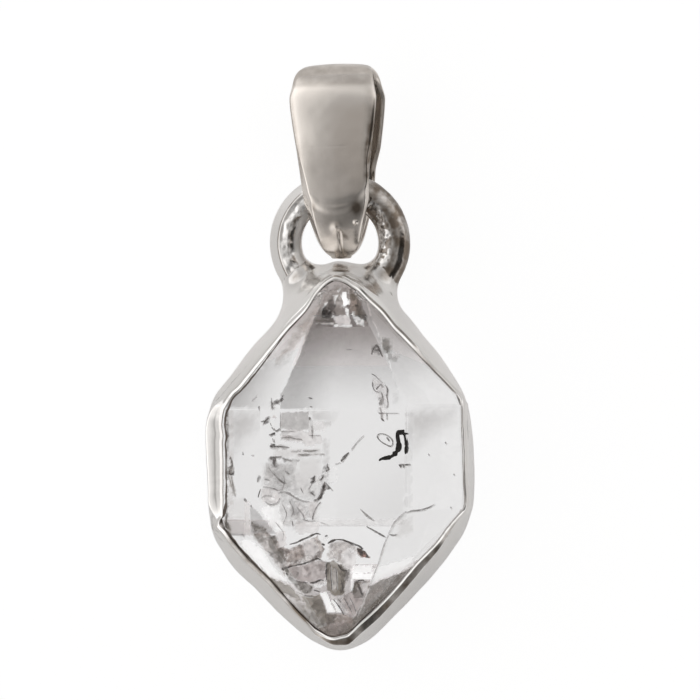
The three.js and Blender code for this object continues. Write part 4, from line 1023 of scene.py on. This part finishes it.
def bezel_surface():
    """The strip's closed section carried round the crystal in polar form. The section goes up the
    outside from the base to the shoulder, over the rim to the groove beside the lip, over the lip, which
    slopes outwards, down along the crystal's faces and back to the base inside the wall. A low ridge
    crosses the arch on top. Returns the points, their darkening by stains and painted shade, and their
    frost."""
    angle = np.linspace(-math.pi, math.pi, AROUND, endpoint=False)
    unit = np.stack([np.cos(angle), np.sin(angle), 0 * angle], -1)
    lip = line_radius(LIP_LINE, angle) + 0.01 * lumps(unit * 8, 0.5, 5)
    lip = lip + windows(angle, LIP_MOVED)
    shoulder = lip_height(angle) - LIP_TO_SHOULDER
    lip_z = shoulder + LIP_TO_SHOULDER + 0.015 * lumps(unit * 8, 0.9, 8) + 0.006 * lumps(unit * 8, 0.25, 9)
    base = line_radius(BASE_LINE, angle)
    ridge = windows(angle, RIDGE)
    rows, stain_and_shade = [], []
    for share in np.linspace(0, 1, WALL_ROWS):
        z = BASE_Z + (shoulder - BASE_Z) * share
        below = z - shoulder
        wave = ridge * (np.exp(-(((below + 0.28) / 0.14) ** 2)) - np.exp(-(((below + 0.04) / 0.09) ** 2)))
        rows.append((wall_radius(angle, z) + wave, z))
        stain_and_shade.append(0 * angle)
    left = left_side(angle)
    groove = groove_out(angle)
    grooved = np.minimum(windows(angle, GROOVED) + left, 1)
    groove_drop = LIP_FOOT + (groove - 0.055) * (0.12 + 0.1425 * left) * grooved + 0.13 * (1 - grooved)
    rim = rows[-1][0] - lip - groove
    depth = lip_z - shoulder - groove_drop
    for share in np.linspace(1, 0, RIM_ROWS)[1:-1]:
        gentle = rim * (0.22 * share + 0.13 * share**2)
        gentle = gentle + (depth - 0.35 * rim) * smoothstep(0.88, 1, share)
        fall = depth * share * (1 - left) + gentle * left
        rows.append((lip + groove + rim * share, lip_z - groove_drop - fall))
        stain_and_shade.append(0 * angle)
    # Darkening of the groove: dirt and painted shade, strongest on the right.
    groove_dark = GROOVE_DIRT_AND_SHADE_LEAST + windows(angle, GROOVE_DIRT_AND_SHADE)
    for share in np.linspace(1, 0, GROOVE_ROWS):
        sloped = 0.3 * share - 0.6 * max(share - 0.75, 0) ** 2
        sink = (groove - 0.055) * (0.12 * share * (1 - left) + sloped * left)
        sink = sink * grooved + 0.13 * share * (1 - grooved)
        rows.append((lip + 0.055 + (groove - 0.055) * share, lip_z - LIP_FOOT - sink))
        stain_and_shade.append(groove_dark * (1 - left) * (1 - 0.5 * share**8) * (0.5 + 0.5 * min(share * 8, 1)))
    dull = windows(angle, DULL) + DULL_LEFT * left
    inward = windows(angle, INWARD)
    crest = 1 - windows(angle, LOW_CREST)
    # Painted shadow: the lip's inner edge and the wall down beside the crystal are darkened, fully from the
    # upper left round to the bottom, where the gap between lip and crystal lies in shade.
    inner = 0.1 + 0.9 * window(angle + math.pi, -85, -72, 88, 98)
    for out, drop, brown, turned in LIP_SECTION:
        rows.append((lip + out, lip_z - (drop * (1 - inward) + turned * inward) * crest))
        stain_and_shade.append(np.maximum(brown * inner, dull))
    for share in np.linspace(0, 1, INNER_ROWS):
        z = lip_z - 0.1 + (INNER_Z - lip_z + 0.1) * share
        reach = crystal_radius(angle, z) + SEAT_GAP
        rows.append((np.minimum(reach, wall_radius(angle, z) - LEAST_WALL), z))
        stain_and_shade.append(0.9 * inner)
    inside = rows[-1][0]
    for share in np.linspace(0, 1, INNER_ROWS)[1:]:
        z = np.full(AROUND, INNER_Z + (BASE_Z - INNER_Z) * share)
        rows.append((inside + (base - WALL - inside) * share, z))
        stain_and_shade.append(0.3 + 0 * angle)
    radius = np.array([r for r, _ in rows])
    height = np.array([z for _, z in rows])
    points = np.stack([radius * np.cos(angle), radius * np.sin(angle), height], -1)
    outside = np.arange(len(rows)) < WALL_ROWS
    points[outside] = grow_solder(points[outside], np.broadcast_to(unit, points.shape)[outside], 0.7)
    hammer = sum(deep * lumps(points, size, seed) for deep, size, seed in HAMMER_DENTS)
    points = points + unit * (hammer * outside[:, None])[..., None]
    x, y = points[..., 0], points[..., 1]
    above = points[..., 2] > ARCH_Z
    spot = round_spot(*ARCH_SPOT, points, 4) * above
    bare = round_spot(*BARE_SPOT, points, 4)
    arch = np.array(ARCH_LINE)
    away = np.abs(y - np.interp(x, arch[:, 0], arch[:, 1]))
    worn = smoothstep(0.09, 0.03, away) * smoothstep(-1.3, -1.0, x) * smoothstep(1.7, 1.3, x)
    neck = smoothstep(8.98, 9.25, y) * above
    points[..., 2] += ARCH_RISE * worn * above
    frost = above * (0.3 * worn + 0.7 * bare) + 0.15 * neck
    tarnish_and_shade = np.array(stain_and_shade) + 1.4 * spot + 0.12 * neck + joint_dark_spots(points)
    return points, np.clip(tarnish_and_shade * (1 - bare), 0, 1.5), frost


SILVER_WHITE = (0.87, 0.855, 0.84, 1)
SILVER_BROWN = (0.2, 0.165, 0.135, 1)


def silver_material(name, roughness, dents, fine, white=SILVER_WHITE):
    """Polished silver: a metal with soft dents and fine scratches as bump, a roughness that wanders and
    is raised by the piece's frost, and brown stains and painted shade where its own attribute and a
    patchy noise ask for it."""
    material, nodes, links, shader = new_material(name)
    shader.inputs["Metallic"].default_value = 1.0
    patches = object_noise(nodes, links, 1.4, detail=5)
    stain_and_shade = nodes.new("ShaderNodeAttribute")
    stain_and_shade.attribute_name = "tarnish_and_shade"
    patchy = nodes.new("ShaderNodeMapRange")
    patchy.inputs["From Min"].default_value = 0.3
    patchy.inputs["From Max"].default_value = 0.7
    patchy.inputs["To Min"].default_value = 0.55
    patchy.inputs["To Max"].default_value = 1.25
    links.new(patches, patchy.inputs["Value"])
    amount = nodes.new("ShaderNodeMath")
    amount.operation = "MULTIPLY"
    amount.use_clamp = True
    links.new(stain_and_shade.outputs["Fac"], amount.inputs[0])
    links.new(patchy.outputs["Result"], amount.inputs[1])
    colour = nodes.new("ShaderNodeMix")
    colour.data_type = "RGBA"
    colour.inputs[6].default_value = white
    colour.inputs[7].default_value = SILVER_BROWN
    links.new(amount.outputs["Value"], colour.inputs[0])
    links.new(colour.outputs[2], shader.inputs["Base Color"])
    spread = nodes.new("ShaderNodeMapRange")
    spread.inputs["To Min"].default_value = roughness * 0.6
    spread.inputs["To Max"].default_value = roughness * 1.4
    links.new(patches, spread.inputs["Value"])
    frost = nodes.new("ShaderNodeAttribute")
    frost.attribute_name = "frost"
    rough = nodes.new("ShaderNodeMath")
    rough.use_clamp = True
    links.new(spread.outputs["Result"], rough.inputs[0])
    links.new(frost.outputs["Fac"], rough.inputs[1])
    links.new(rough.outputs["Value"], shader.inputs["Roughness"])
    soft = object_noise(nodes, links, 1.6, detail=2)
    scratches = object_noise(nodes, links, 9.0, (1, 0.25, 1), detail=6)
    bump_chain(nodes, links, shader, [(soft, dents, 0.06), (scratches, fine, 0.006)])
    return material


bezel = shell("bezel", *bezel_surface())
bezel.data.materials.append(silver_material("bezel_silver", roughness=0.2, dents=0.1, fine=0.25))
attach(bezel, "setting")
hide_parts("silver_bezel")

# ---------------------------------------------------------------------------------------------------
# Seam shadow. A flat brown-black tube on the crystal in the seam between the lip and the crystal:
# painted shadow, thickest in the notch at the lower left.
# ---------------------------------------------------------------------------------------------------
# Its place as (degrees round from the right, distance inside the lip's line, half width).
SEAM_COURSE = (
    (84, 0.1, 0.01), (90, 0.09, 0.04), (94, 0.1, 0.03), (99, 0.13, 0.012), (104, 0.15, 0.02),
    (111, 0.17, 0.025), (125, 0.2, 0.035), (132, 0.21, 0.04),
    (145, 0.22, 0.04), (155, 0.23, 0.045), (166, 0.24, 0.045), (172, 0.24, 0.04), (180, 0.24, 0.03),
    (190, 0.24, 0.035), (200, 0.23, 0.055), (205, 0.15, 0.08), (208, 0.05, 0.12), (210.5, 0.07, 0.1),
    (214, 0.14, 0.05), (228, 0.15, 0.055), (241, 0.12, 0.045), (250, 0.1, 0.06), (259, 0.1, 0.08),
    (265, 0.1, 0.055), (272, 0.1, 0.04), (277, 0.13, 0.05), (283, 0.15, 0.02), (285, 0.15, 0.008),
)
SEAM_HEIGHT, SEAM_STEPS, SEAM_SIDES = 0.035, 1400, 14
SEAM_BROWN = (0.11, 0.082, 0.064, 1)


def seam_surface():
    """A flat tube on the crystal's front surface beside the lip: radius lip - inside + w cos b and
    height front + h sin b for b round it, its half width w read from the course and roughened."""
    course = np.array(SEAM_COURSE)
    turn = np.linspace(course[0, 0], course[-1, 0], SEAM_STEPS)
    angle = np.radians(turn)[:, None]
    unit = np.stack([np.cos(angle), np.sin(angle), 0 * angle], -1)
    half = np.interp(turn, course[:, 0], course[:, 2])[:, None] * (1 + 0.35 * lumps(unit * 8, 0.3, 51))
    inside = np.interp(turn, course[:, 0], course[:, 1])[:, None] + 0.02 * lumps(unit * 8, 0.5, 52)
    b = np.linspace(0, 2 * math.pi, SEAM_SIDES, endpoint=False)[None]
    ends = np.minimum(1, np.minimum(turn - turn[0], turn[-1] - turn)[:, None] / 0.3)
    radius = line_radius(LIP_LINE, angle) - inside + half * ends * np.cos(b)
    x, y = radius * np.cos(angle), radius * np.sin(angle)
    return np.stack([x, y, front_height(x, y) + SEAM_HEIGHT * ends * np.sin(b)], -1)


seam = shell("seam_shadow", seam_surface(), close_rows=False)
seam_material, nodes, links, shader = new_material("seam_shadow")
shadow_mottle = nodes.new("ShaderNodeMix")
shadow_mottle.data_type = "RGBA"
shadow_mottle.inputs[6].default_value = SEAM_BROWN
shadow_mottle.inputs[7].default_value = tuple(0.5 * v for v in SEAM_BROWN[:3]) + (1,)
links.new(object_noise(nodes, links, 3.0, detail=4), shadow_mottle.inputs[0])
links.new(shadow_mottle.outputs[2], shader.inputs["Base Color"])
shader.inputs["Roughness"].default_value = 0.6
seam.data.materials.append(seam_material)
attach(seam, "setting")

# ---------------------------------------------------------------------------------------------------
# Hanging ring. Thick round wire, bent to a ring and soldered astride the bezel's top corner; the
# solder runs into the shoulders. Its left side is filed flat, its right side is rough, tarnished and
# darkened with painted shade.
# ---------------------------------------------------------------------------------------------------
RING_STEPS, WIRE_STEPS = 900, 108
# The two filed flats on the left, as degrees round the wire and depth, and the stained edge between.
FILED_FLATS = ((38, 0.1), (75, 0.055))
EDGE_AT, EDGE_WIDTH = math.radians(58), 0.065
PIT_DEPTH, DENT_DEPTH, WAVE_DEPTH, GRAIN_DEPTH = 0.05, 0.05, 0.008, 0.012


def ring_surface():
    """The wire's circle carried round the ring: angle a round the ring from the top clockwise, and
    angle b round the wire from the outside up. Flats are filed on the left down to their chords, and
    noise makes pits on the right and dents on the left. Returns the points, their darkening by stains and
    painted shade, and their frost."""
    a = np.linspace(0, 2 * math.pi, RING_STEPS, endpoint=False)[:, None]
    b = np.linspace(0, 2 * math.pi, WIRE_STEPS, endpoint=False)[None, :]
    out = np.stack([np.sin(a) + 0 * b, np.cos(a) + 0 * b, 0 * a + 0 * b], -1)
    up = np.zeros_like(out)
    up[..., 2] = 1
    normal = out * np.cos(b)[..., None] + up * np.sin(b)[..., None]
    round_wire = np.array(RING_CENTRE) + out * RING_RADIUS + normal * WIRE_RADIUS
    outwards, front = np.cos(b), np.sin(b) > 0
    right = smoothstep(0.15, 0.6, np.sin(a)) * smoothstep(-0.95, -0.6, np.cos(a)) + 0 * b
    left = smoothstep(0.45, 0.75, -np.sin(a)) + 0 * b
    pits = np.minimum(lumps(round_wire, 0.45, 31) + 0.6 * lumps(round_wire, 0.18, 32), 0.35)
    dents = lumps(round_wire, 0.5, 35) + 0.5 * lumps(round_wire, 0.2, 36)
    spots = lumps(round_wire, 0.4, 34) + 0.7 * lumps(round_wire, 0.16, 37)
    bright = smoothstep(-0.95, -0.8, outwards) * smoothstep(0.05, -0.25, outwards) * front
    band = smoothstep(0.42, 0.3, outwards) * smoothstep(-1.0, -0.8, outwards) * front
    streak = np.exp(-(((outwards + 0.38 - 0.15 * dents) / 0.14) ** 2)) * smoothstep(-0.25, 0.2, dents)
    streak = streak * smoothstep(0.75, 0.4, -np.cos(a)) * smoothstep(-0.8, -0.55, -np.cos(a)) * front

    pitted = 0.25 + 0.75 * smoothstep(0.25, -0.15, outwards) * smoothstep(-0.95, -0.7, outwards)
    rough = right * pitted * (PIT_DEPTH * pits - 0.018) + WAVE_DEPTH * (lumps(round_wire, 0.5, 33) - 1)
    dented = smoothstep(0.45, 0.2, outwards) * smoothstep(-0.85, -0.5, outwards)
    rough = rough + left * dented * DENT_DEPTH * (dents - 0.6)
    filed = 0 * left
    for degrees, depth in FILED_FLATS:
        chord = (WIRE_RADIUS - depth) / np.maximum(np.cos(b - math.radians(degrees)), 0.3)
        filed = np.maximum(filed, left * (WIRE_RADIUS - chord))
    grained = 0.5 * left * band * smoothstep(-0.75, -0.5, outwards) + right * bright
    grain = GRAIN_DEPTH * grained * lumps(round_wire, 0.13, 38)
    points = grow_solder(round_wire, normal, 0.6) + normal * (rough - filed + grain)[..., None]

    # Tarnish and painted shade: the right side, which lies away from the light, is darker in colour.
    stain_and_shade = right * smoothstep(-0.3, 0.0, outwards) * np.clip(1.05 + 0.4 * spots, 0, 1)
    stain_and_shade = np.maximum(stain_and_shade, right * bright * 0.95 * smoothstep(0.0, -0.18, spots))
    stain_and_shade = stain_and_shade + left * (streak + np.exp(-(((b - EDGE_AT) / EDGE_WIDTH) ** 2))) + joint_dark_spots(points)
    frosted = band * (1 - streak) * (0.12 + 0.3 * smoothstep(-0.4, -0.6, outwards))
    return points, np.clip(stain_and_shade, 0, 1), 0.12 * right * bright + left * frosted


ring = shell("ring", *ring_surface())
ring.data.materials.append(silver_material("ring_silver", roughness=0.14, dents=0.35, fine=0.3))
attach(ring, "setting")
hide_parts("hanging_ring")

# ---------------------------------------------------------------------------------------------------
# Bail. A tapered strip of silver folded to a loop through the ring, its ends soldered together at the
# narrow bottom. The front leaf ends in a round tongue over the lower tip, which has a seam.
# ---------------------------------------------------------------------------------------------------
SWING_CENTRE = (0, 12.376, 2.23)
BAIL_YAW = math.radians(-8)
BAIL_LEAN = math.radians(1.5)
STRIP = 0.42
# The loop seen from its side, as (y, z), from the tip up the front leaf, over the fold and down.
LOOP_SIDE = (
    (-2.7, 0.0), (-2.5, 0.62), (-2.1, 1.1), (-1.5, 1.5), (-0.8, 1.79), (0.2, 1.97), (1.4, 2.07),
    (2.6, 2.1), (3.8, 2.09), (4.8, 2.02), (5.55, 1.83), (6.15, 1.45), (6.54, 0.9), (6.7, 0.3),
    (6.72, -0.35), (6.5, -1.0), (6.05, -1.6), (5.4, -1.97), (4.6, -2.09), (3.0, -2.1), (1.4, -2.08),
    (0.2, -2.0), (-0.8, -1.8), (-1.5, -1.5), (-2.1, -1.08), (-2.5, -0.6),
)
HALF_WIDTHS = (
    (-2.76, 0.14), (-2.7, 0.48), (-2.6, 0.7), (-2.45, 0.88), (-2.2, 1.02), (-1.9, 1.12), (-1.1, 1.31),
    (0, 1.6), (1.6, 1.71), (2.6, 1.82), (3.65, 1.97), (4.6, 2.08), (5.2, 2.12), (5.5, 2.06), (5.8, 2.0),
    (6.1, 1.96), (6.3, 1.92), (6.5, 1.84), (6.65, 1.74), (6.73, 1.68),
)
# How much of the front leaf's half width is flat before its sides turn down.
FLAT_SHARES = ((-1.2, 0.74), (0, 0.7), (0.8, 0.76), (1.8, 0.86), (3.2, 1.0))
LOOP_STEPS, OUTER_STEPS, INNER_STEPS = 560, 121, 41
BAIL_DENTS = ((0.01, 0.9, 41), (0.004, 0.4, 42))
# The knob and the bead of solder on the tip, as x, y and radius.
KNOB, BEAD = (0, -1.2, 0.2), (0.95, -0.97, 0.09)
# Darkening of the front leaf: stained blotches as x, y, radii and amount, bands across it as the
# amount and the y where they start and are full, and edges as the amount, the shares of the half width
# where they start and are full, and the y where they start, are full, are still full and end. The bands
# and the edges are painted shade: over the fold, low on the leaf, and along its edges, most on the right.
BLOTCHES = ((1.0, -0.2, (0.24, 0.42), 0.9), (-1.05, -0.12, (0.12, 0.3), 0.42))
SHADED_BANDS = ((0.4, 5.5, 5.8), (0.15, 6.1, 6.5), (0.15, 3.4, 2.3))
SHADED_EDGES = (
    (0.9, 0.8, 0.93, 0.5, 1.4, 2.8, 5.3), (0.36, 0.7, 0.9, 1.5, 2.5, 5.2, 5.8),
    (0.4, -0.86, -0.94, 0.5, 1.4, 4.8, 5.6),
)
TIP_STAIN, SEAM_STAIN, INNER_STAIN = 0.2, 0.4, 0.45
BAIL_WHITE = (0.84, 0.79, 0.74, 1)


def closed_line(points, count):
    """Points evenly spaced on a closed Catmull-Rom curve through the given points."""
    p = np.array(points, float)
    t = np.linspace(0, 1, 24, endpoint=False)[None, :, None]
    a, b, c, d = (np.roll(p, n, 0)[:, None] for n in (1, 0, -1, -2))
    line = 0.5 * (2 * b + (c - a) * t + (2 * a - 5 * b + 4 * c - d) * t**2 + (3 * b - a - 3 * c + d) * t**3)
    line = np.vstack([line.reshape(-1, 2), p[:1]])
    steps = np.r_[0, np.cumsum(np.linalg.norm(np.diff(line, axis=0), axis=1))]
    wanted = np.linspace(0, steps[-1], count, endpoint=False)
    return np.c_[np.interp(wanted, steps, line[:, 0]), np.interp(wanted, steps, line[:, 1])]


def leaf_relief(x, y, height):
    """The front leaf's low relief at x, y, where its middle line has this height, and its seam: the tip
    sinks below the tongue's round end, with a scoop above it, a fine crease across the leaf, a seam
    down the tip, a knob and a bead."""
    place = np.stack([x + 0 * y, y], -1)
    tongue_end = -0.42 + 0.5 * (x / 1.1) ** 2
    lower = smoothstep(0.3, -0.3, y - tongue_end) * smoothstep(0.1, 0.7, height)
    scoop = np.exp(-(((y + 0.1 - 0.25 * x**2) / 0.17) ** 2)) * smoothstep(1.2, 0.7, np.abs(x))
    crease = np.exp(-(((y - 2.7) / 0.03) ** 2)) * smoothstep(-1.1, -0.9, x) * smoothstep(0.75, 0.55, x)
    seam = np.exp(-(((x - 0.13) / 0.07) ** 2)) * lower * smoothstep(-1.2, -1.5, y)
    solder = 0.1 * round_spot(*KNOB, place) + 0.08 * round_spot(*BEAD, place)
    return solder - 0.11 * lower - 0.035 * scoop - 0.008 * crease - 0.05 * seam, seam


def leaf_stain_and_shade(u, x, y, seam):
    """The front leaf's darkening at x, y, and u of the way from its middle to its edge: the sum of the
    tip, the seam and the blotches, which are stains, and the bands and the edges, which are painted
    shade."""
    place = np.stack([x + 0 * y, y], -1)
    stain_and_shade = TIP_STAIN * smoothstep(0.1, -0.4, y) * smoothstep(-2.9, -2.2, y) + SEAM_STAIN * seam
    for at_x, at_y, radii, amount in BLOTCHES:
        stain_and_shade = stain_and_shade + amount * round_spot(at_x, at_y, radii, place)
    for amount, start, full in SHADED_BANDS:
        stain_and_shade = stain_and_shade + amount * smoothstep(start, full, y)
    for amount, inner_u, outer_u, start, full, last, end in SHADED_EDGES:
        along = smoothstep(start, full, y) * smoothstep(end, last, y)
        stain_and_shade = stain_and_shade + amount * smoothstep(inner_u, outer_u, u) * along
    return stain_and_shade


def bail_surface():
    """The strip's section carried round the loop. The outer side is crowned by 0.24 u^2 at most and, low
    on the leaves, turns down steeply outside its flat middle; both edges are rounded. Returns the
    points and their darkening by stains and painted shade."""
    side = closed_line(LOOP_SIDE, LOOP_STEPS)
    tangent = np.roll(side, -1, 0) - np.roll(side, 1, 0)
    tangent /= np.linalg.norm(tangent, axis=1)[:, None]
    normal = np.c_[tangent[:, 1], -tangent[:, 0]]
    if (normal * (side - side.mean(0))).sum() < 0:
        normal = -normal
    y, height = side[:, :1], side[:, 1:]
    half = np.interp(y[:, 0], *np.array(HALF_WIDTHS).T)
    smooth = np.hanning(19) / np.hanning(19).sum()
    half = np.convolve(np.r_[half[-9:], half, half[:9]], smooth, "valid")[:, None]
    flat = np.interp(y, *np.array(FLAT_SHARES).T) * half
    wider = 1 + 0.24 * smoothstep(2.4, 0.6, y)
    outer_u = np.sin(np.linspace(-math.pi / 2, math.pi / 2, OUTER_STEPS))
    inner_u = np.sin(np.linspace(math.pi / 2, -math.pi / 2, INNER_STEPS))[1:-1]
    u = np.r_[outer_u, inner_u][None]
    outer = np.r_[np.ones(len(outer_u), bool), np.zeros(len(inner_u), bool)][None]
    behind = (height < 0) & (u > 0)
    x = half * u * (1 - 0.1 * behind * smoothstep(2.8, 1.5, y))
    flat = np.minimum(np.where((x > 0) & (height > 0), flat * wider, flat), half)
    crown = (0.24 - 0.13 * smoothstep(3.2, 1.6, y) - 0.13 * smoothstep(5.8, 6.6, y)) * u**2
    turned = 1.15 * np.maximum(np.sqrt((np.abs(x) - flat) ** 2 * (np.abs(x) > flat) + 0.01) - 0.1, 0)
    drop = crown + turned
    room = np.where(y > 0, 9, np.maximum(np.abs(height) - 0.06, 0.02))
    drop = room * np.tanh(drop / room)
    edge = 0.16 * (1 - np.sqrt(np.maximum(1 - np.abs(u) ** 10, 0)))
    depth = np.where(outer, -drop - edge, -STRIP - drop * 0.9 + edge)
    yy = y + normal[:, :1] * depth
    front = (height > 0.02) & outer
    relief, seam = leaf_relief(x, yy, height)
    zz = height + normal[:, 1:] * depth + np.where(front, relief, 0)
    points = np.stack([x + 0 * yy, yy, zz], -1)
    dents = sum(deep * lumps(points, size, seed) for deep, size, seed in BAIL_DENTS)
    points[..., 2] += np.where(outer, dents * np.sign(height), 0)
    stain_and_shade = np.where(front, leaf_stain_and_shade(u, x, yy, seam), 0) + np.where(outer, 0, INNER_STAIN)
    return points, np.clip(stain_and_shade, 0, 1)


def place_bail(points):
    """The bail's own frame put in place: yawed about its length, then leaned about +Z, then moved so
    that its origin lies on the swing axis."""
    cy, sy = math.cos(BAIL_YAW), math.sin(BAIL_YAW)
    cz, sz = math.cos(BAIL_LEAN), math.sin(BAIL_LEAN)
    yaw = np.array([[cy, 0, sy], [0, 1, 0], [-sy, 0, cy]])
    lean = np.array([[cz, -sz, 0], [sz, cz, 0], [0, 0, 1]])
    return points @ (lean @ yaw).T + np.array(SWING_CENTRE)


bail_points, bail_tarnish_and_shade = bail_surface()
bail = shell("bail_strip", place_bail(bail_points), bail_tarnish_and_shade)
bail_silver = silver_material("bail_silver", roughness=0.2, dents=0.05, fine=0.2, white=BAIL_WHITE)
bail.data.materials.append(bail_silver)
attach(bail, "bail")
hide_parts("bail")

# ---------------------------------------------------------------------------------------------------
# Stage: a plain white table, soft white light that is brightest low on the left, greyer overhead and
# dark low on the right, and the camera straight above.
# ---------------------------------------------------------------------------------------------------
TABLE_Z, TABLE_SIZE = -0.02, 1200
TABLE_WHITE, PAPER_WHITE = (0.82, 0.815, 0.81, 1), (0.12, 0.12, 0.12, 1)
# How much the table glows, and x + y where it starts to rise and stops; then what it shows by itself
# through the crystal and to the eye.
TABLE_GLOW, GLOW_SPAN = (0.12, 0.24), (-2, 8)
SEEN_GLOW = (("Is Transmission Ray", 0.79), ("Is Camera Ray", 0.93))
# The sky's grey by height, and its lobes: each has a direction, the degrees from it where it is full
# and where it ends, and what it multiplies the light by.
SKY_ENDS = (1.0, 1.0, 1.0, 1), (0.3, 0.285, 0.27, 1)
SKY_LEVELS = ((0.45, 0.95), (0.75, 0.62), (0.93, 0.36))
SKY_LOBES = (
    ((-1, 0.1, 0.5), 10, 55, 1.15), ((1, -0.2, 0.58), 12, 31, 0.08),
    ((0.1, -1, 1.0), 12, 45, 0.35), ((0.1, 1, 0.1), 15, 50, 0.5),
)
LIGHT = 1.25
VIEW_CENTRE = (0.48, 5.28)
VIEW_WIDTH, VIEW_DISTANCE, VIEW_HEIGHT = 33.6, 420, 4.9
SENSOR = 36

table = bpy.data.meshes.new("table")
side = TABLE_SIZE / 2 * MM
corners = [(x * side, y * side, TABLE_Z * MM) for x, y in ((-1, -1), (1, -1), (1, 1), (-1, 1))]
table.from_pydata(corners, [], [(0, 1, 2, 3)])
table = bpy.data.objects.new("table", table)
bpy.context.scene.collection.objects.link(table)
white, nodes, links, shader = new_material("white_table")
shader.inputs["Base Color"].default_value = TABLE_WHITE
shader.inputs["Roughness"].default_value = 1.0
shader.inputs["Specular IOR Level"].default_value = 0.0
shader.inputs["Emission Color"].default_value = (1, 1, 1, 1)
place = nodes.new("ShaderNodeTexCoord")
across = nodes.new("ShaderNodeVectorMath")
across.operation = "DOT_PRODUCT"
across.inputs[1].default_value = (1, 1, 0)
links.new(place.outputs["Object"], across.inputs[0])
spread = nodes.new("ShaderNodeMapRange")
spread.inputs["From Min"].default_value = GLOW_SPAN[0] * MM
spread.inputs["From Max"].default_value = GLOW_SPAN[1] * MM
spread.inputs["To Min"].default_value = TABLE_GLOW[0]
spread.inputs["To Max"].default_value = TABLE_GLOW[1]
links.new(across.outputs["Value"], spread.inputs["Value"])
links.new(spread.outputs["Result"], shader.inputs["Emission Strength"])
seen = nodes.new("ShaderNodeLightPath")
before = shader.outputs["BSDF"]
for ray, glow_level in SEEN_GLOW:
    glow = nodes.new("ShaderNodeEmission")
    glow.inputs["Color"].default_value = (glow_level, glow_level, glow_level, 1)
    paper = nodes.new("ShaderNodeBsdfDiffuse")
    paper.inputs["Color"].default_value = PAPER_WHITE
    both = nodes.new("ShaderNodeAddShader")
    choose = nodes.new("ShaderNodeMixShader")
    links.new(glow.outputs["Emission"], both.inputs[0])
    links.new(paper.outputs["BSDF"], both.inputs[1])
    links.new(seen.outputs[ray], choose.inputs["Fac"])
    links.new(before, choose.inputs[1])
    links.new(both.outputs["Shader"], choose.inputs[2])
    before = choose.outputs["Shader"]
links.new(before, nodes["Material Output"].inputs["Surface"])
table.data.materials.append(white)

world = bpy.data.worlds.new("studio")
bpy.context.scene.world = world
world.use_nodes = True
nodes, links = world.node_tree.nodes, world.node_tree.links
direction = nodes.new("ShaderNodeTexCoord")


def sky_lobe(towards, narrow, wide, gain, before):
    """The light so far times 1 far from a direction and gain near it, smoothly between two angles."""
    dot = nodes.new("ShaderNodeVectorMath")
    dot.operation = "DOT_PRODUCT"
    dot.inputs[1].default_value = np.array(towards) / np.linalg.norm(towards)
    links.new(direction.outputs["Generated"], dot.inputs[0])
    fade = nodes.new("ShaderNodeMapRange")
    fade.interpolation_type = "SMOOTHSTEP"
    fade.inputs["From Min"].default_value = math.cos(math.radians(wide))
    fade.inputs["From Max"].default_value = math.cos(math.radians(narrow))
    fade.inputs["To Min"].default_value = 1.0
    fade.inputs["To Max"].default_value = gain
    links.new(dot.outputs["Value"], fade.inputs["Value"])
    scale = nodes.new("ShaderNodeVectorMath")
    scale.operation = "SCALE"
    links.new(before, scale.inputs[0])
    links.new(fade.outputs["Result"], scale.inputs["Scale"])
    return scale.outputs["Vector"]


split = nodes.new("ShaderNodeSeparateXYZ")
links.new(direction.outputs["Generated"], split.inputs["Vector"])
ramp = nodes.new("ShaderNodeValToRGB")
for end, colour in enumerate(SKY_ENDS):
    ramp.color_ramp.elements[end].position = end
    ramp.color_ramp.elements[end].color = colour
for position, level in SKY_LEVELS:
    ramp.color_ramp.elements.new(position).color = (level, level * 0.985, level * 0.97, 1)
links.new(split.outputs["Z"], ramp.inputs["Fac"])
light = ramp.outputs["Color"]
for lobe in SKY_LOBES:
    light = sky_lobe(*lobe, light)
links.new(light, nodes["Background"].inputs["Color"])
nodes["Background"].inputs["Strength"].default_value = LIGHT

camera_data = bpy.data.cameras.new("camera")
camera_data.sensor_width = SENSOR
camera_data.lens = SENSOR * VIEW_DISTANCE / VIEW_WIDTH
camera_data.clip_start = 0.01
camera_data.clip_end = 10
camera = bpy.data.objects.new("camera", camera_data)
camera.location = (VIEW_CENTRE[0] * MM, VIEW_CENTRE[1] * MM, (VIEW_HEIGHT + VIEW_DISTANCE) * MM)
bpy.context.scene.collection.objects.link(camera)
bpy.context.scene.camera = camera
bpy.context.scene.view_settings.view_transform = "Standard"
